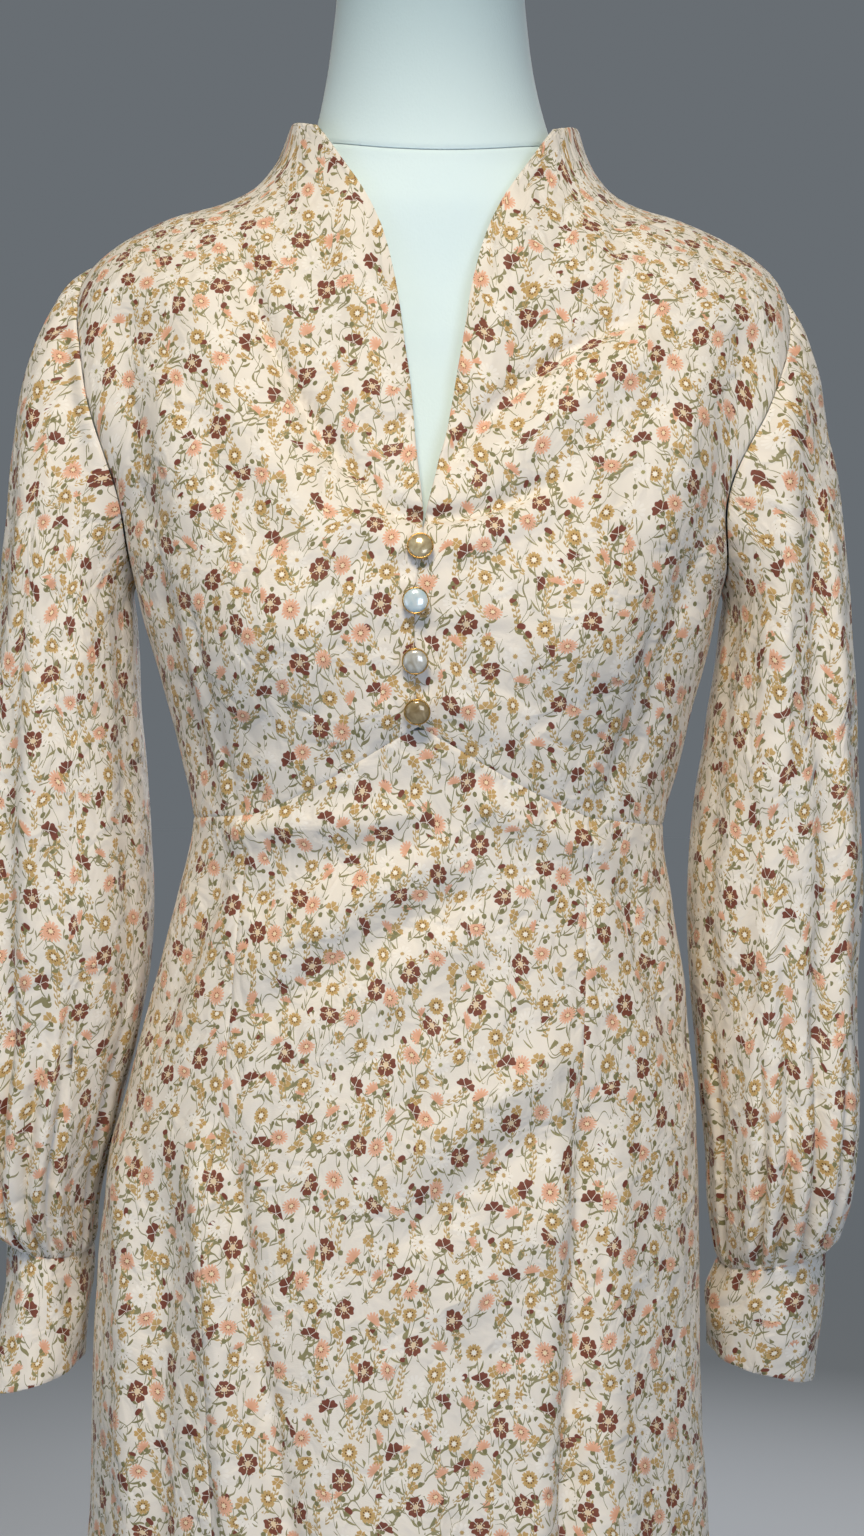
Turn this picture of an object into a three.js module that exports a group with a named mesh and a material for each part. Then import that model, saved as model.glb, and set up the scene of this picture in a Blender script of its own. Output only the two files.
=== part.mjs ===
// A floor-length printed cotton dress on a limbless dress form: grown-on stand neck with a slit front,
// four shank buttons, a pointed empire seam, bust darts, a five-gore skirt and gathered bishop sleeves
// on deep cuffs. Millimetres, +Z up, the front faces -Y, the floor is Z = 0 under the stand's centre.
//
// Every cloth piece is a thin wall laid on one "body" surface. A point of that surface has a side
// (-1 or +1), an angle phi (0 at centre front, 90 degrees at the side, 180 at centre back) and a ring
// height h. Low rings are level. From the armhole up they tilt, so that they climb over the shoulder.
import * as THREE from "three";

// ---- Driving dimensions -------------------------------------------------------------------------
const WALL = 1.5; // cloth thickness
const CUFF_WALL = 2.2; // a cuff is two layers and an interfacing
const SEAM_GAP = 0.3; // between neighbouring pieces
const RAD = Math.PI / 180;

const HEM_H = 40; // the hem hangs this far above the floor
const SEAM_H = 1100; // empire seam at the bust darts
const SEAM_SIDE_H = 1096; // empire seam at the side and round the back
const PEAK_RISE = 46; // the seam's point at centre front stands this far above it
const PEAK_REACH = 90; // half width of that point
const ARMPIT_H = 1225;
const COLLAR_H = 1462; // ring along the top edge of the stand neck
const SLIT_H = 1248; // bottom of the front slit
const PRINCESS_SKEW = -4.5; // both princess seams lie this far off the centre line

// Each armhole: the ring through the shoulder tip, and how deep the hole is cut in front and behind,
// as a share of the ring's depth. The sleeve head leaves it by puff outwards and drop downwards.
const ARMHOLES = {
  left: { tipH: 1345, front: 0.58, back: 0.45, puff: 22, drop: 20 },
  right: { tipH: 1357, front: 0.52, back: 0.45, puff: 36, drop: 10 },
};

const SLEEVE_LEVEL_Z = 1205; // below this a sleeve's rings are level
const CUFF_TOP_Z = 855;

const BUTTON_R = 6.9;
const BUTTON_HEIGHTS = [1237, 1210, 1180, 1155];
const BUTTON_STAND = 3; // shank length

const STAND_R = 190;
const STAND_THICK = 14;
const POLE_R = 14;
const FORM_BOTTOM_Z = 755;

// Body rings, all on the cloth's outside. h is the height at centre front; zSide and zBack are the
// heights at the side and at centre back; shift moves the ring sideways; half is its half width;
// front and back are its depths from the side seams; power squares it off; slide moves the front
// centre line; slit is half the width of the front opening; seamX is where the princess line runs.
const BODY_RINGS = [
  { h: 40, zSide: 40, zBack: 40, shift: -2, half: 226, front: 196, back: 206, power: 2.0, slide: 0, slit: 0, seamX: 112 },
  { h: 300, zSide: 300, zBack: 300, shift: -4, half: 203, front: 168, back: 180, power: 2.05, slide: 0, slit: 0, seamX: 104 },
  { h: 520, zSide: 520, zBack: 520, shift: -6, half: 184, front: 143, back: 154, power: 2.1, slide: 0, slit: 0, seamX: 96 },
  { h: 705, zSide: 705, zBack: 705, shift: -7.5, half: 171.5, front: 124, back: 134, power: 2.15, slide: 0, slit: 0, seamX: 91 },
  { h: 800, zSide: 800, zBack: 800, shift: -10.5, half: 169, front: 118, back: 126, power: 2.15, slide: 0, slit: 0, seamX: 93 },
  { h: 900, zSide: 900, zBack: 900, shift: -8.5, half: 164.5, front: 114, back: 119, power: 2.15, slide: 0, slit: 0, seamX: 95 },
  { h: 950, zSide: 950, zBack: 950, shift: -4.5, half: 157.5, front: 111, back: 114, power: 2.15, slide: -1, slit: 0, seamX: 94 },
  { h: 1000, zSide: 1000, zBack: 1000, shift: -1, half: 149, front: 108, back: 107, power: 2.15, slide: -2, slit: 0, seamX: 93 },
  { h: 1050, zSide: 1050, zBack: 1050, shift: 1.2, half: 138.5, front: 104, back: 97, power: 2.15, slide: -3, slit: 0, seamX: 92 },
  { h: 1093, zSide: 1093, zBack: 1093, shift: 2.5, half: 131, front: 101, back: 88, power: 2.2, slide: -3.5, slit: 0, seamX: 91 },
  { h: 1128, zSide: 1128, zBack: 1128, shift: 2.4, half: 138, front: 106, back: 90, power: 2.25, slide: -4.5, slit: 0, seamX: 95 },
  { h: 1163, zSide: 1163, zBack: 1163, shift: 1.8, half: 147, front: 114, back: 95, power: 2.3, slide: -6.5, slit: 0, seamX: 105 },
  { h: 1200, zSide: 1200, zBack: 1200, shift: 1, half: 157, front: 120, back: 99, power: 2.35, slide: -7, slit: 0, seamX: 116 },
  { h: 1225, zSide: 1225, zBack: 1225, shift: 0.6, half: 163, front: 120, back: 102, power: 2.4, slide: -5.5, slit: 0, seamX: 119 },
  { h: 1255, zSide: 1263, zBack: 1255, shift: 0.3, half: 176, front: 114, back: 105, power: 2.45, slide: -2.5, slit: 0.6, seamX: 118 },
  { h: 1295, zSide: 1321, zBack: 1298, shift: 0, half: 200, front: 101, back: 107, power: 2.5, slide: 0.3, slit: 7.5, seamX: 114 },
  { h: 1325, zSide: 1361, zBack: 1328, shift: 0, half: 202, front: 92, back: 103, power: 2.5, slide: 1.2, slit: 11.5, seamX: 109 },
  { h: 1345, zSide: 1389, zBack: 1350, shift: 0, half: 197, front: 86, back: 98, power: 2.5, slide: 1.2, slit: 14.5, seamX: 104 },
  { h: 1362, zSide: 1407, zBack: 1368, shift: 0, half: 184, front: 82, back: 92, power: 2.45, slide: 1.2, slit: 17, seamX: 98 },
  { h: 1378, zSide: 1421, zBack: 1386, shift: 0, half: 163, front: 78, back: 86, power: 2.4, slide: 1, slit: 19.5, seamX: 90 },
  { h: 1392, zSide: 1431, zBack: 1404, shift: 0, half: 140, front: 74, back: 80, power: 2.35, slide: 1, slit: 22.5, seamX: 82 },
  { h: 1405, zSide: 1438, zBack: 1420, shift: 0, half: 117, front: 70, back: 74, power: 2.3, slide: 1, slit: 26, seamX: 74 },
  { h: 1418, zSide: 1446, zBack: 1438, shift: 0, half: 101, front: 67, back: 68, power: 2.2, slide: 1, slit: 31, seamX: 69 },
  { h: 1432, zSide: 1457, zBack: 1458, shift: 0, half: 91, front: 65, back: 64, power: 2.15, slide: 1, slit: 39, seamX: 67 },
  { h: 1446, zSide: 1469, zBack: 1479, shift: 0, half: 84.5, front: 64, back: 62, power: 2.1, slide: 1, slit: 51, seamX: 70 },
  { h: 1462, zSide: 1482, zBack: 1500, shift: 0, half: 80, front: 64, back: 62, power: 2.1, slide: 1, slit: 65, seamX: 74 },
];

// Form rings: how far the dress form lies inside the cloth's outside, square to it.
const FORM_INSET = [
  { h: 755, front: 26, side: 26, back: 26 },
  { h: 850, front: 14, side: 14, back: 14 },
  { h: 950, front: 11, side: 11, back: 10 },
  { h: 1000, front: 16, side: 15, back: 15 },
  { h: 1035, front: 22, side: 22, back: 18 },
  { h: 1093, front: 9, side: 7, back: 6 },
  { h: 1200, front: 6, side: 6, back: 5 },
  { h: 1255, front: 8, side: 8, back: 5 },
  { h: 1325, front: 9, side: 8, back: 5 },
  { h: 1345, front: 8, side: 2.9, back: 4.5 },
  { h: 1360, front: 7.5, side: 3.2, back: 4.5 },
  { h: 1371, front: 7.5, side: 2.7, back: 4.5 },
  { h: 1384, front: 7, side: 2.7, back: 4.5 },
  { h: 1397, front: 7, side: 3.2, back: 5 },
  { h: 1410, front: 7, side: 4.5, back: 6 },
];

// The form's neck, ring by ring, from inside the stand neck to the rounded top.
const NECK_RINGS = [
  { zFront: 1424, zSide: 1447, zBack: 1446, shift: 0, half: 87, front: 61, back: 63, power: 2.2 },
  { zFront: 1443, zSide: 1459, zBack: 1467, shift: -0.5, half: 74, front: 56, back: 58, power: 2.1 },
  { zFront: 1458, zSide: 1471, zBack: 1484, shift: -1, half: 68, front: 53, back: 54, power: 2.05 },
  { zFront: 1480, zSide: 1489, zBack: 1499, shift: -2, half: 62.5, front: 50, back: 51.5, power: 2 },
  { zFront: 1510, zSide: 1516, zBack: 1522, shift: -3, half: 57, front: 47.5, back: 49.5, power: 2 },
  { zFront: 1553, zSide: 1555, zBack: 1557, shift: -3.5, half: 52.5, front: 46, back: 48, power: 2 },
  { zFront: 1578, zSide: 1579, zBack: 1580, shift: -3.5, half: 52, front: 45.5, back: 47.5, power: 2 },
  { zFront: 1588, zSide: 1589, zBack: 1590, shift: -3.5, half: 48, front: 42, back: 44, power: 2 },
  { zFront: 1592, zSide: 1593, zBack: 1594, shift: -3.5, half: 38, front: 33, back: 35, power: 2 },
];
const NECK_SEAM_RING = 2; // where the neck's cover meets the torso's

// Soft folds pressed into the front or back, seen from the front: each runs from (x0, z0) past
// (x1, z1) to (x2, z2). A minus depth is a trough and a plus depth is a ridge.
const FOLDS = [
  // drag lines from the neck to the first button
  { face: "front", x0: -98, z0: 1398, x1: -84, z1: 1318, x2: -14, z2: 1252, wide: 11, depth: -3.6 },
  { face: "front", x0: -72, z0: 1402, x1: -62, z1: 1345, x2: -14, z2: 1272, wide: 12, depth: 2.6 },
  { face: "front", x0: 92, z0: 1412, x1: 80, z1: 1322, x2: 8, z2: 1258, wide: 11, depth: -3.6 },
  { face: "front", x0: 70, z0: 1408, x1: 58, z1: 1345, x2: 12, z2: 1280, wide: 12, depth: 2.6 },
  // hollows beside the armholes
  { face: "front", x0: -172, z0: 1392, x1: -170, z1: 1330, x2: -150, z2: 1246, wide: 10, depth: -3.6 },
  { face: "front", x0: 168, z0: 1368, x1: 168, z1: 1310, x2: 146, z2: 1250, wide: 10, depth: -3.6 },
  // bust darts
  { face: "front", x0: -124, z0: 1209, x1: -114, z1: 1168, x2: -95, z2: 1100, wide: 5, depth: -2.4 },
  { face: "front", x0: 117, z0: 1209, x1: 107, z1: 1160, x2: 86, z2: 1100, wide: 5, depth: -2.4 },
  // skirt front: diagonal troughs and the folds that hang from the hips
  { face: "front", x0: -106, z0: 955, x1: -88, z1: 830, x2: -52, z2: 690, wide: 15, depth: -4.5 },
  { face: "front", x0: 84, z0: 960, x1: 80, z1: 820, x2: 66, z2: 560, wide: 13, depth: -5 },
  { face: "front", x0: 104, z0: 1066, x1: 128, z1: 1020, x2: 142, z2: 968, wide: 9, depth: -2.6 },
  { face: "front", x0: -120, z0: 880, x1: -122, z1: 760, x2: -126, z2: 420, wide: 14, depth: -4.5 },
  { face: "front", x0: -20, z0: 760, x1: -12, z1: 600, x2: 4, z2: 300, wide: 22, depth: 5 },
  // back: bodice darts and two hanging folds
  { face: "back", x0: -74, z0: 1196, x1: -76, z1: 1150, x2: -78, z2: 1095, wide: 5, depth: -2 },
  { face: "back", x0: 74, z0: 1196, x1: 76, z1: 1150, x2: 78, z2: 1095, wide: 5, depth: -2 },
  { face: "back", x0: -66, z0: 1050, x1: -78, z1: 900, x2: -96, z2: 420, wide: 16, depth: -5 },
  { face: "back", x0: 62, z0: 1040, x1: 76, z1: 880, x2: 90, z2: 420, wide: 16, depth: -5 },
];

// Skirt flutes: waves round the hem that fade out towards the hips.
const FLUTE_COUNT = 9;
const FLUTE_DEPTH = 15;
const FLUTE_TOP_H = 860;
const FLUTE_PHASE = 0.55;

// Sleeve rings below the armhole, for the wearer's left sleeve (+X) and right sleeve (-X): the x
// reach of the inner and outer sides, the y centre and the half depth; lean lifts the inner side and
// lowers the outer side. The rings from CUFF_TOP_Z down are the cuff's.
const SLEEVE_RINGS = {
  left: [
    { z: 1205, inner: 165, outer: 236, yMid: 3, deep: 68, lean: 0 },
    { z: 1150, inner: 158, outer: 240, yMid: 5, deep: 71, lean: 0 },
    { z: 1090, inner: 151, outer: 243, yMid: 8, deep: 73, lean: 0 },
    { z: 1030, inner: 150, outer: 243, yMid: 10, deep: 74, lean: 0 },
    { z: 980, inner: 155, outer: 242, yMid: 11, deep: 75, lean: 0 },
    { z: 935, inner: 160, outer: 242, yMid: 11, deep: 75, lean: -1 },
    { z: 905, inner: 163, outer: 239, yMid: 11, deep: 73, lean: -2 },
    { z: 885, inner: 164, outer: 236, yMid: 11, deep: 68, lean: -3 },
    { z: 870, inner: 166, outer: 232, yMid: 11, deep: 59, lean: -4 },
    { z: 860, inner: 168, outer: 230, yMid: 11, deep: 49, lean: -4.5 },
    { z: 855, inner: 170, outer: 228, yMid: 11, deep: 45, lean: -5 },
    { z: 828, inner: 164, outer: 230, yMid: 18, deep: 47, lean: 0 },
    { z: 791, inner: 166, outer: 226, yMid: 28, deep: 46, lean: 7 },
  ],
  right: [
    { z: 1205, inner: 164, outer: 241, yMid: 3, deep: 68, lean: 0 },
    { z: 1150, inner: 160, outer: 245, yMid: 5, deep: 71, lean: 0 },
    { z: 1090, inner: 155, outer: 249, yMid: 8, deep: 73, lean: 0 },
    { z: 1030, inner: 153, outer: 250, yMid: 10, deep: 74, lean: 0 },
    { z: 980, inner: 159, outer: 250, yMid: 12, deep: 75, lean: 0 },
    { z: 935, inner: 169, outer: 251, yMid: 13, deep: 75, lean: 0 },
    { z: 905, inner: 176, outer: 250, yMid: 13, deep: 73, lean: -1 },
    { z: 885, inner: 180, outer: 247, yMid: 13, deep: 68, lean: -2 },
    { z: 870, inner: 182, outer: 240, yMid: 13, deep: 60, lean: -2.5 },
    { z: 860, inner: 183, outer: 232, yMid: 13, deep: 52, lean: -3 },
    { z: 855, inner: 184, outer: 229, yMid: 13, deep: 49, lean: -3 },
    { z: 828, inner: 184, outer: 231, yMid: 8, deep: 50, lean: 1 },
    { z: 786, inner: 186, outer: 241, yMid: 0, deep: 51, lean: 6 },
  ],
};
const SLEEVE_POWER = 2.2;
const GATHER_COUNT = 10; // gathers round each sleeve above the cuff
const GATHER_DEPTH = 3.4;
const LONG_FOLD_COUNT = 5; // long soft folds down each sleeve
const LONG_FOLD_DEPTH = 2.6;

// Grid steps.
const DART_COLUMNS = 8; // centre front to the princess line
const SIDE_COLUMNS = 7; // princess line to the side seam
const BACK_COLUMNS = 12;
const SKIRT_ROWS = 11;
const ARMHOLE_ROWS = 10;
const SLEEVE_SPLIT = 2; // sleeve columns for each armhole row
const CAP_STEPS = [0, 0.14, 0.32, 0.56, 0.8, 1];

// ---- Small helpers ------------------------------------------------------------------------------
const lerp = (a, b, t) => a + (b - a) * t;
const clamp01 = (t) => Math.min(1, Math.max(0, t));
const smooth = (t) => clamp01(t) * clamp01(t) * (3 - 2 * clamp01(t));
const signedPower = (v, p) => Math.sign(v) * Math.abs(v) ** p;

// One column of a table at any key: a cubic through the rows, with each row's slope taken from
// its neighbours.
function column(rows, key, name) {
  const slope = (i) => {
    const a = rows[Math.max(0, i - 1)];
    const b = rows[Math.min(rows.length - 1, i + 1)];
    return (b[name] - a[name]) / (b[key] - a[key]);
  };
  return (at) => {
    const end = rows.findIndex((r) => r[key] >= at);
    const i = Math.max(0, (end < 0 ? rows.length - 1 : end) - 1);
    const step = rows[i + 1][key] - rows[i][key];
    const t = clamp01((at - rows[i][key]) / step);
    const t2 = t * t;
    const t3 = t2 * t;
    return (
      (2 * t3 - 3 * t2 + 1) * rows[i][name] +
      (t3 - 2 * t2 + t) * step * slope(i) +
      (3 * t2 - 2 * t3) * rows[i + 1][name] +
      (t3 - t2) * step * slope(i + 1)
    );
  };
}

function columns(rows, key) {
  const names = Object.keys(rows[0]).filter((n) => n !== key);
  return Object.fromEntries(names.map((n) => [n, column(rows, key, n)]));
}

const ring = columns(BODY_RINGS, "h");
const inset = columns(FORM_INSET, "h");

// ---- The body surface ---------------------------------------------------------------------------
// A point of a squared ellipse whose height runs from its front over its side to its back.
function ringPoint(side, phi, r) {
  const across = signedPower(Math.sin(phi), 2 / r.power);
  const along = signedPower(Math.cos(phi), 2 / r.power);
  const depth = along > 0 ? r.front : r.back;
  const zEnd = along > 0 ? r.zFront : r.zBack;
  const z = r.zSide + (zEnd - r.zSide) * Math.abs(along) ** 1.8;
  const slide = along > 0 ? r.slide * along * along : 0;
  return new THREE.Vector3(r.shift + slide + side * r.half * across, -depth * along, z);
}

function bodyRing(h) {
  const r = { zFront: h };
  for (const name of Object.keys(ring)) r[name] = ring[name](h);
  return r;
}

// Two rounded bust points stand out of the rings.
function bust(p) {
  if (p.y > 0) return 0;
  const x = (Math.abs(p.x) - 84) / 40;
  const z = (p.z - 1206) / 42;
  return 9 * Math.exp(-x * x - z * z);
}

// How far the folds move a point: each is a soft bell across its curve, fading at both ends.
function folds(p) {
  let sum = 0;
  for (const f of FOLDS) {
    if (p.y > 0 !== (f.face === "back")) continue;
    let best = Infinity;
    let at = 0;
    for (let i = 0; i <= 12; i++) {
      const t = i / 12;
      const x = (1 - t) * (1 - t) * f.x0 + 2 * t * (1 - t) * f.x1 + t * t * f.x2;
      const z = (1 - t) * (1 - t) * f.z0 + 2 * t * (1 - t) * f.z1 + t * t * f.z2;
      const away = Math.hypot(p.x - x, p.z - z);
      if (away < best) [best, at] = [away, t];
    }
    const fade = smooth(at / 0.22) * smooth((1 - at) / 0.22 + 0.25);
    sum += f.depth * fade * Math.exp(-((best / f.wide) ** 2));
  }
  return sum;
}

function flutes(side, phi, h) {
  const around = side * phi;
  const grow = smooth((FLUTE_TOP_H - h) / (FLUTE_TOP_H - HEM_H));
  return FLUTE_DEPTH * grow * Math.cos(FLUTE_COUNT * around + FLUTE_PHASE);
}

// The unit normal of surface(side, phi, h), pointing outwards, from two short steps.
function normalOf(surface, side, phi, h) {
  const step = 0.02;
  const acrossPhi = surface(side, phi + step, h).sub(surface(side, phi - step, h));
  const alongH = surface(side, phi, Math.min(COLLAR_H, h + 1)).sub(surface(side, phi, h - 1));
  return acrossPhi.cross(alongH).multiplyScalar(side).normalize();
}

const smoothBody = (side, phi, h) => {
  const p = ringPoint(side, phi, bodyRing(h));
  return p.setY(p.y - bust(p));
};

function clothBody(side, phi, h) {
  const p = smoothBody(side, phi, h);
  const out = folds(p) + (h < FLUTE_TOP_H ? flutes(side, phi, h) : 0);
  return Math.abs(out) < 1e-6 ? p : p.addScaledVector(normalOf(smoothBody, side, phi, h), out);
}

// ---- Seam lines on that surface -----------------------------------------------------------------
// The angle at which a ring reaches a given distance from its centre.
const phiAtX = (x, h) => Math.asin(clamp01(Math.abs(x) / ring.half(h)) ** (ring.power(h) / 2));
const phiAtDepth = (share, h) => Math.acos(clamp01(share) ** (ring.power(h) / 2));

const princess = (side, h) => phiAtX(ring.seamX(h) + side * PRINCESS_SKEW, h);
const slitEdge = (h) => (h <= SLIT_H ? 0 : phiAtX(ring.slit(h), h));

function armhole(h, tipH, depth) {
  const s = (h - ARMPIT_H) / (tipH - ARMPIT_H);
  if (s <= 0 || s >= 1) return 90 * RAD;
  return phiAtDepth(depth * Math.sin(Math.PI * s) ** 0.6, h);
}

// The empire seam: level round the back and sides, rising to a point at centre front.
function empireSeam(phi) {
  if (phi >= 90 * RAD) return SEAM_SIDE_H;
  const x = ring.half(SEAM_H) * signedPower(Math.sin(phi), 2 / ring.power(SEAM_H));
  const point = PEAK_RISE * clamp01(1 - x / PEAK_REACH) ** 1.25;
  return lerp(SEAM_H, SEAM_SIDE_H, smooth((x - 80) / 50)) + point;
}

// ---- Thin walls from grids ----------------------------------------------------------------------
// outer and inner are grids of points, rows by columns; a wall closes them with rims. A loop grid's
// last column joins its first. flip turns the faces round for a mirrored piece.
function wall(outer, inner, { loop = false, flip = false } = {}) {
  const rows = outer.length;
  const cols = outer[0].length;
  const points = [...outer.flat(), ...inner.flat()];
  const shift = rows * cols;
  const id = (r, c) => r * cols + (c % cols);
  const index = [];
  const quad = (a, b, c, d) => (flip ? index.push(a, c, b, a, d, c) : index.push(a, b, c, a, c, d));
  const lastCol = loop ? cols : cols - 1;
  for (let r = 0; r < rows - 1; r++)
    for (let c = 0; c < lastCol; c++) {
      quad(id(r, c), id(r, c + 1), id(r + 1, c + 1), id(r + 1, c));
      quad(shift + id(r, c), shift + id(r + 1, c), shift + id(r + 1, c + 1), shift + id(r, c + 1));
    }
  for (let c = 0; c < lastCol; c++) {
    quad(id(0, c + 1), id(0, c), shift + id(0, c), shift + id(0, c + 1));
    quad(id(rows - 1, c), id(rows - 1, c + 1), shift + id(rows - 1, c + 1), shift + id(rows - 1, c));
  }
  if (!loop)
    for (let r = 0; r < rows - 1; r++) {
      quad(id(r, 0), id(r + 1, 0), shift + id(r + 1, 0), shift + id(r, 0));
      quad(id(r + 1, cols - 1), id(r, cols - 1), shift + id(r, cols - 1), shift + id(r + 1, cols - 1));
    }
  const geometry = new THREE.BufferGeometry().setFromPoints(points);
  geometry.setIndex(index);
  return geometry;
}

// Moves a grid's border points towards their inner neighbours, to leave the seam gap.
function pullBack(grid, { loop = false, top = true, bottom = true } = {}) {
  const move = (p, to) => p.addScaledVector(to.clone().sub(p).normalize(), 0.6 * SEAM_GAP);
  if (bottom) grid[0].forEach((p, c) => move(p, grid[1][c]));
  if (top) grid[grid.length - 1].forEach((p, c) => move(p, grid[grid.length - 2][c]));
  if (!loop)
    for (const row of grid) {
      move(row[0], row[1]);
      move(row[row.length - 1], row[row.length - 2]);
    }
  return grid;
}

// A cloth panel on the body surface: places is a grid of { side, phi, h }.
function panel(places, flip) {
  const outer = places.map((row) => row.map((q) => clothBody(q.side, q.phi, q.h)));
  const inner = places.map((row, r) =>
    row.map((q, c) => {
      const n = normalOf(clothBody, q.side, q.phi, q.h);
      return outer[r][c].clone().addScaledVector(n, -WALL);
    }),
  );
  return wall(pullBack(outer), pullBack(inner), { flip });
}

// ---- Bodice -------------------------------------------------------------------------------------
// Row shares from the empire seam to the collar, with rows at the slit's foot, armpit and shoulder.
const SLIT_ROW = 6;
const TOP_ROWS = 7;
const ARMPIT_ROW = SLIT_ROW + 1;
const SHOULDER_ROW = ARMPIT_ROW + ARMHOLE_ROWS;

function bodiceRows(tipH) {
  const span = COLLAR_H - SEAM_SIDE_H;
  const slitAt = (SLIT_H - SEAM_H - PEAK_RISE) / (COLLAR_H - SEAM_H - PEAK_RISE);
  const armpitAt = (ARMPIT_H - SEAM_SIDE_H) / span;
  const tipAt = (tipH - SEAM_SIDE_H) / span;
  const rows = [];
  for (let i = 0; i <= SLIT_ROW; i++) rows.push((slitAt * i) / SLIT_ROW);
  for (let i = 0; i < ARMHOLE_ROWS; i++)
    rows.push(lerp(armpitAt, tipAt, (1 - Math.cos((Math.PI * i) / ARMHOLE_ROWS)) / 2));
  for (let i = 0; i <= TOP_ROWS; i++) rows.push(lerp(tipAt, 1, i / TOP_ROWS));
  return rows;
}

const range = (n) => Array.from({ length: n + 1 }, (_, i) => i);

function frontPlaces(side, name) {
  const { tipH, front } = ARMHOLES[name];
  return bodiceRows(tipH).map((v) =>
    range(DART_COLUMNS + SIDE_COLUMNS).map((c) => {
      const onSide = Math.max(0, c - DART_COLUMNS) / SIDE_COLUMNS;
      const onCentre = Math.min(1, c / DART_COLUMNS);
      const h = lerp(empireSeam(topPhi(side, onCentre, onSide)), COLLAR_H, v);
      const line = Math.max(princess(side, h), slitEdge(h) + 0.02);
      const centre = lerp(slitEdge(h), line, onCentre);
      return { side, phi: lerp(centre, armhole(h, tipH, front), onSide), h };
    }),
  );
}

function backPlaces(side, name) {
  const { tipH, back } = ARMHOLES[name];
  return bodiceRows(tipH).map((v) =>
    range(BACK_COLUMNS).map((c) => {
      const h = lerp(SEAM_SIDE_H, COLLAR_H, v);
      const outer = 180 * RAD - armhole(h, tipH, back);
      return { side, phi: lerp(outer, 180 * RAD, c / BACK_COLUMNS), h };
    }),
  );
}

// ---- Skirt --------------------------------------------------------------------------------------
// The angle at which a column of the front meets the empire seam, shared by bodice and skirt.
function topPhi(side, onCentre, onSide) {
  return lerp(princess(side, SEAM_H) * onCentre, 90 * RAD, onSide);
}

// Rows from the hem up to the empire seam; a column says its side, its top angle and its angle at h.
function gorePlaces(gore) {
  return range(SKIRT_ROWS).map((r) =>
    gore.map(({ side, top, phi }) => {
      const h = lerp(HEM_H, empireSeam(top), (r / SKIRT_ROWS) ** 0.9);
      return { side, phi: phi(h), h };
    }),
  );
}

function centreGore() {
  const gore = [];
  for (let c = -DART_COLUMNS; c <= DART_COLUMNS; c++) {
    const side = c < 0 ? -1 : 1;
    const share = Math.abs(c) / DART_COLUMNS;
    gore.push({ side, top: topPhi(side, share, 0), phi: (h) => princess(side, h) * share });
  }
  return gorePlaces(gore);
}

const sideGore = (side) =>
  gorePlaces(
    range(SIDE_COLUMNS).map((c) => {
      const share = c / SIDE_COLUMNS;
      const phi = (h) => lerp(princess(side, h), 90 * RAD, share);
      return { side, top: topPhi(side, 1, share), phi };
    }),
  );

const backGore = (side) =>
  gorePlaces(
    range(BACK_COLUMNS).map((c) => {
      const phi = lerp(90 * RAD, 180 * RAD, c / BACK_COLUMNS);
      return { side, top: phi, phi: () => phi };
    }),
  );

// ---- Sleeves and cuffs --------------------------------------------------------------------------
// The armhole loop: from the armpit up the front edge to the shoulder tip and down the back edge,
// with extra points on each straight step so that it lies along the bodice's own edge.
function armholeLoop(side, name) {
  const edge = [];
  const front = frontPlaces(side, name).map((row) => row[row.length - 1]);
  const back = backPlaces(side, name).map((row) => row[0]);
  for (let r = ARMPIT_ROW; r < SHOULDER_ROW; r++) edge.push(front[r]);
  for (let r = SHOULDER_ROW; r > ARMPIT_ROW; r--) edge.push(back[r]);
  const points = edge.map((q) => clothBody(q.side, q.phi, q.h));
  const loop = [];
  points.forEach((p, i) => {
    const next = points[(i + 1) % points.length];
    for (let k = 0; k < SLEEVE_SPLIT; k++) loop.push(p.clone().lerp(next, k / SLEEVE_SPLIT));
  });
  return loop;
}

const sleeveAt = {
  left: columns(SLEEVE_RINGS.left.toReversed(), "z"),
  right: columns(SLEEVE_RINGS.right.toReversed(), "z"),
};

// A level ring of a sleeve, q running 0 at the inner side, 0.25 at the front, 0.5 outside.
function sleeveRing(side, name, z, q, out = 0) {
  const t = sleeveAt[name];
  const turn = 2 * Math.PI * q;
  const across = signedPower(Math.cos(turn), 2 / SLEEVE_POWER);
  const along = signedPower(Math.sin(turn), 2 / SLEEVE_POWER);
  const x = (t.outer(z) + t.inner(z)) / 2 - ((t.outer(z) - t.inner(z)) / 2 + out) * across;
  return new THREE.Vector3(side * x, t.yMid(z) - (t.deep(z) + out) * along, z + t.lean(z) * across);
}

// Waves round a sleeve at a height: fine gathers above the cuff that melt into a few long folds.
function sleeveWave(q, z) {
  const gather = smooth((990 - z) / 110) * smooth((z - CUFF_TOP_Z) / 12 + 0.12);
  const long = smooth((1290 - z) / 120) * smooth((z - 870) / 90);
  return (
    GATHER_DEPTH * gather * Math.cos(2 * Math.PI * GATHER_COUNT * q) +
    LONG_FOLD_DEPTH * long * Math.cos(2 * Math.PI * LONG_FOLD_COUNT * q + 0.9)
  );
}

// The sleeve head: a curve from each armhole point that leaves it outwards and lands straight down.
function sleeveHead(side, name, q, from) {
  const { puff, drop } = ARMHOLES[name];
  const to = sleeveRing(side, name, SLEEVE_LEVEL_Z, q, sleeveWave(q, SLEEVE_LEVEL_Z));
  const rise = (1 - Math.cos(2 * Math.PI * q)) / 2;
  const leave = new THREE.Vector3(side * lerp(1, puff, rise ** 1.4), -5 * Math.sin(2 * Math.PI * q), 0);
  const bend = from.clone().add(leave.setZ(-lerp(6, drop, rise) - 22 * Math.sin(Math.PI * rise)));
  const land = to.clone().add(new THREE.Vector3(-side * 5 * rise, 0, lerp(6, 85, rise)));
  return new THREE.CubicBezierCurve3(from, bend, land, to);
}

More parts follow.
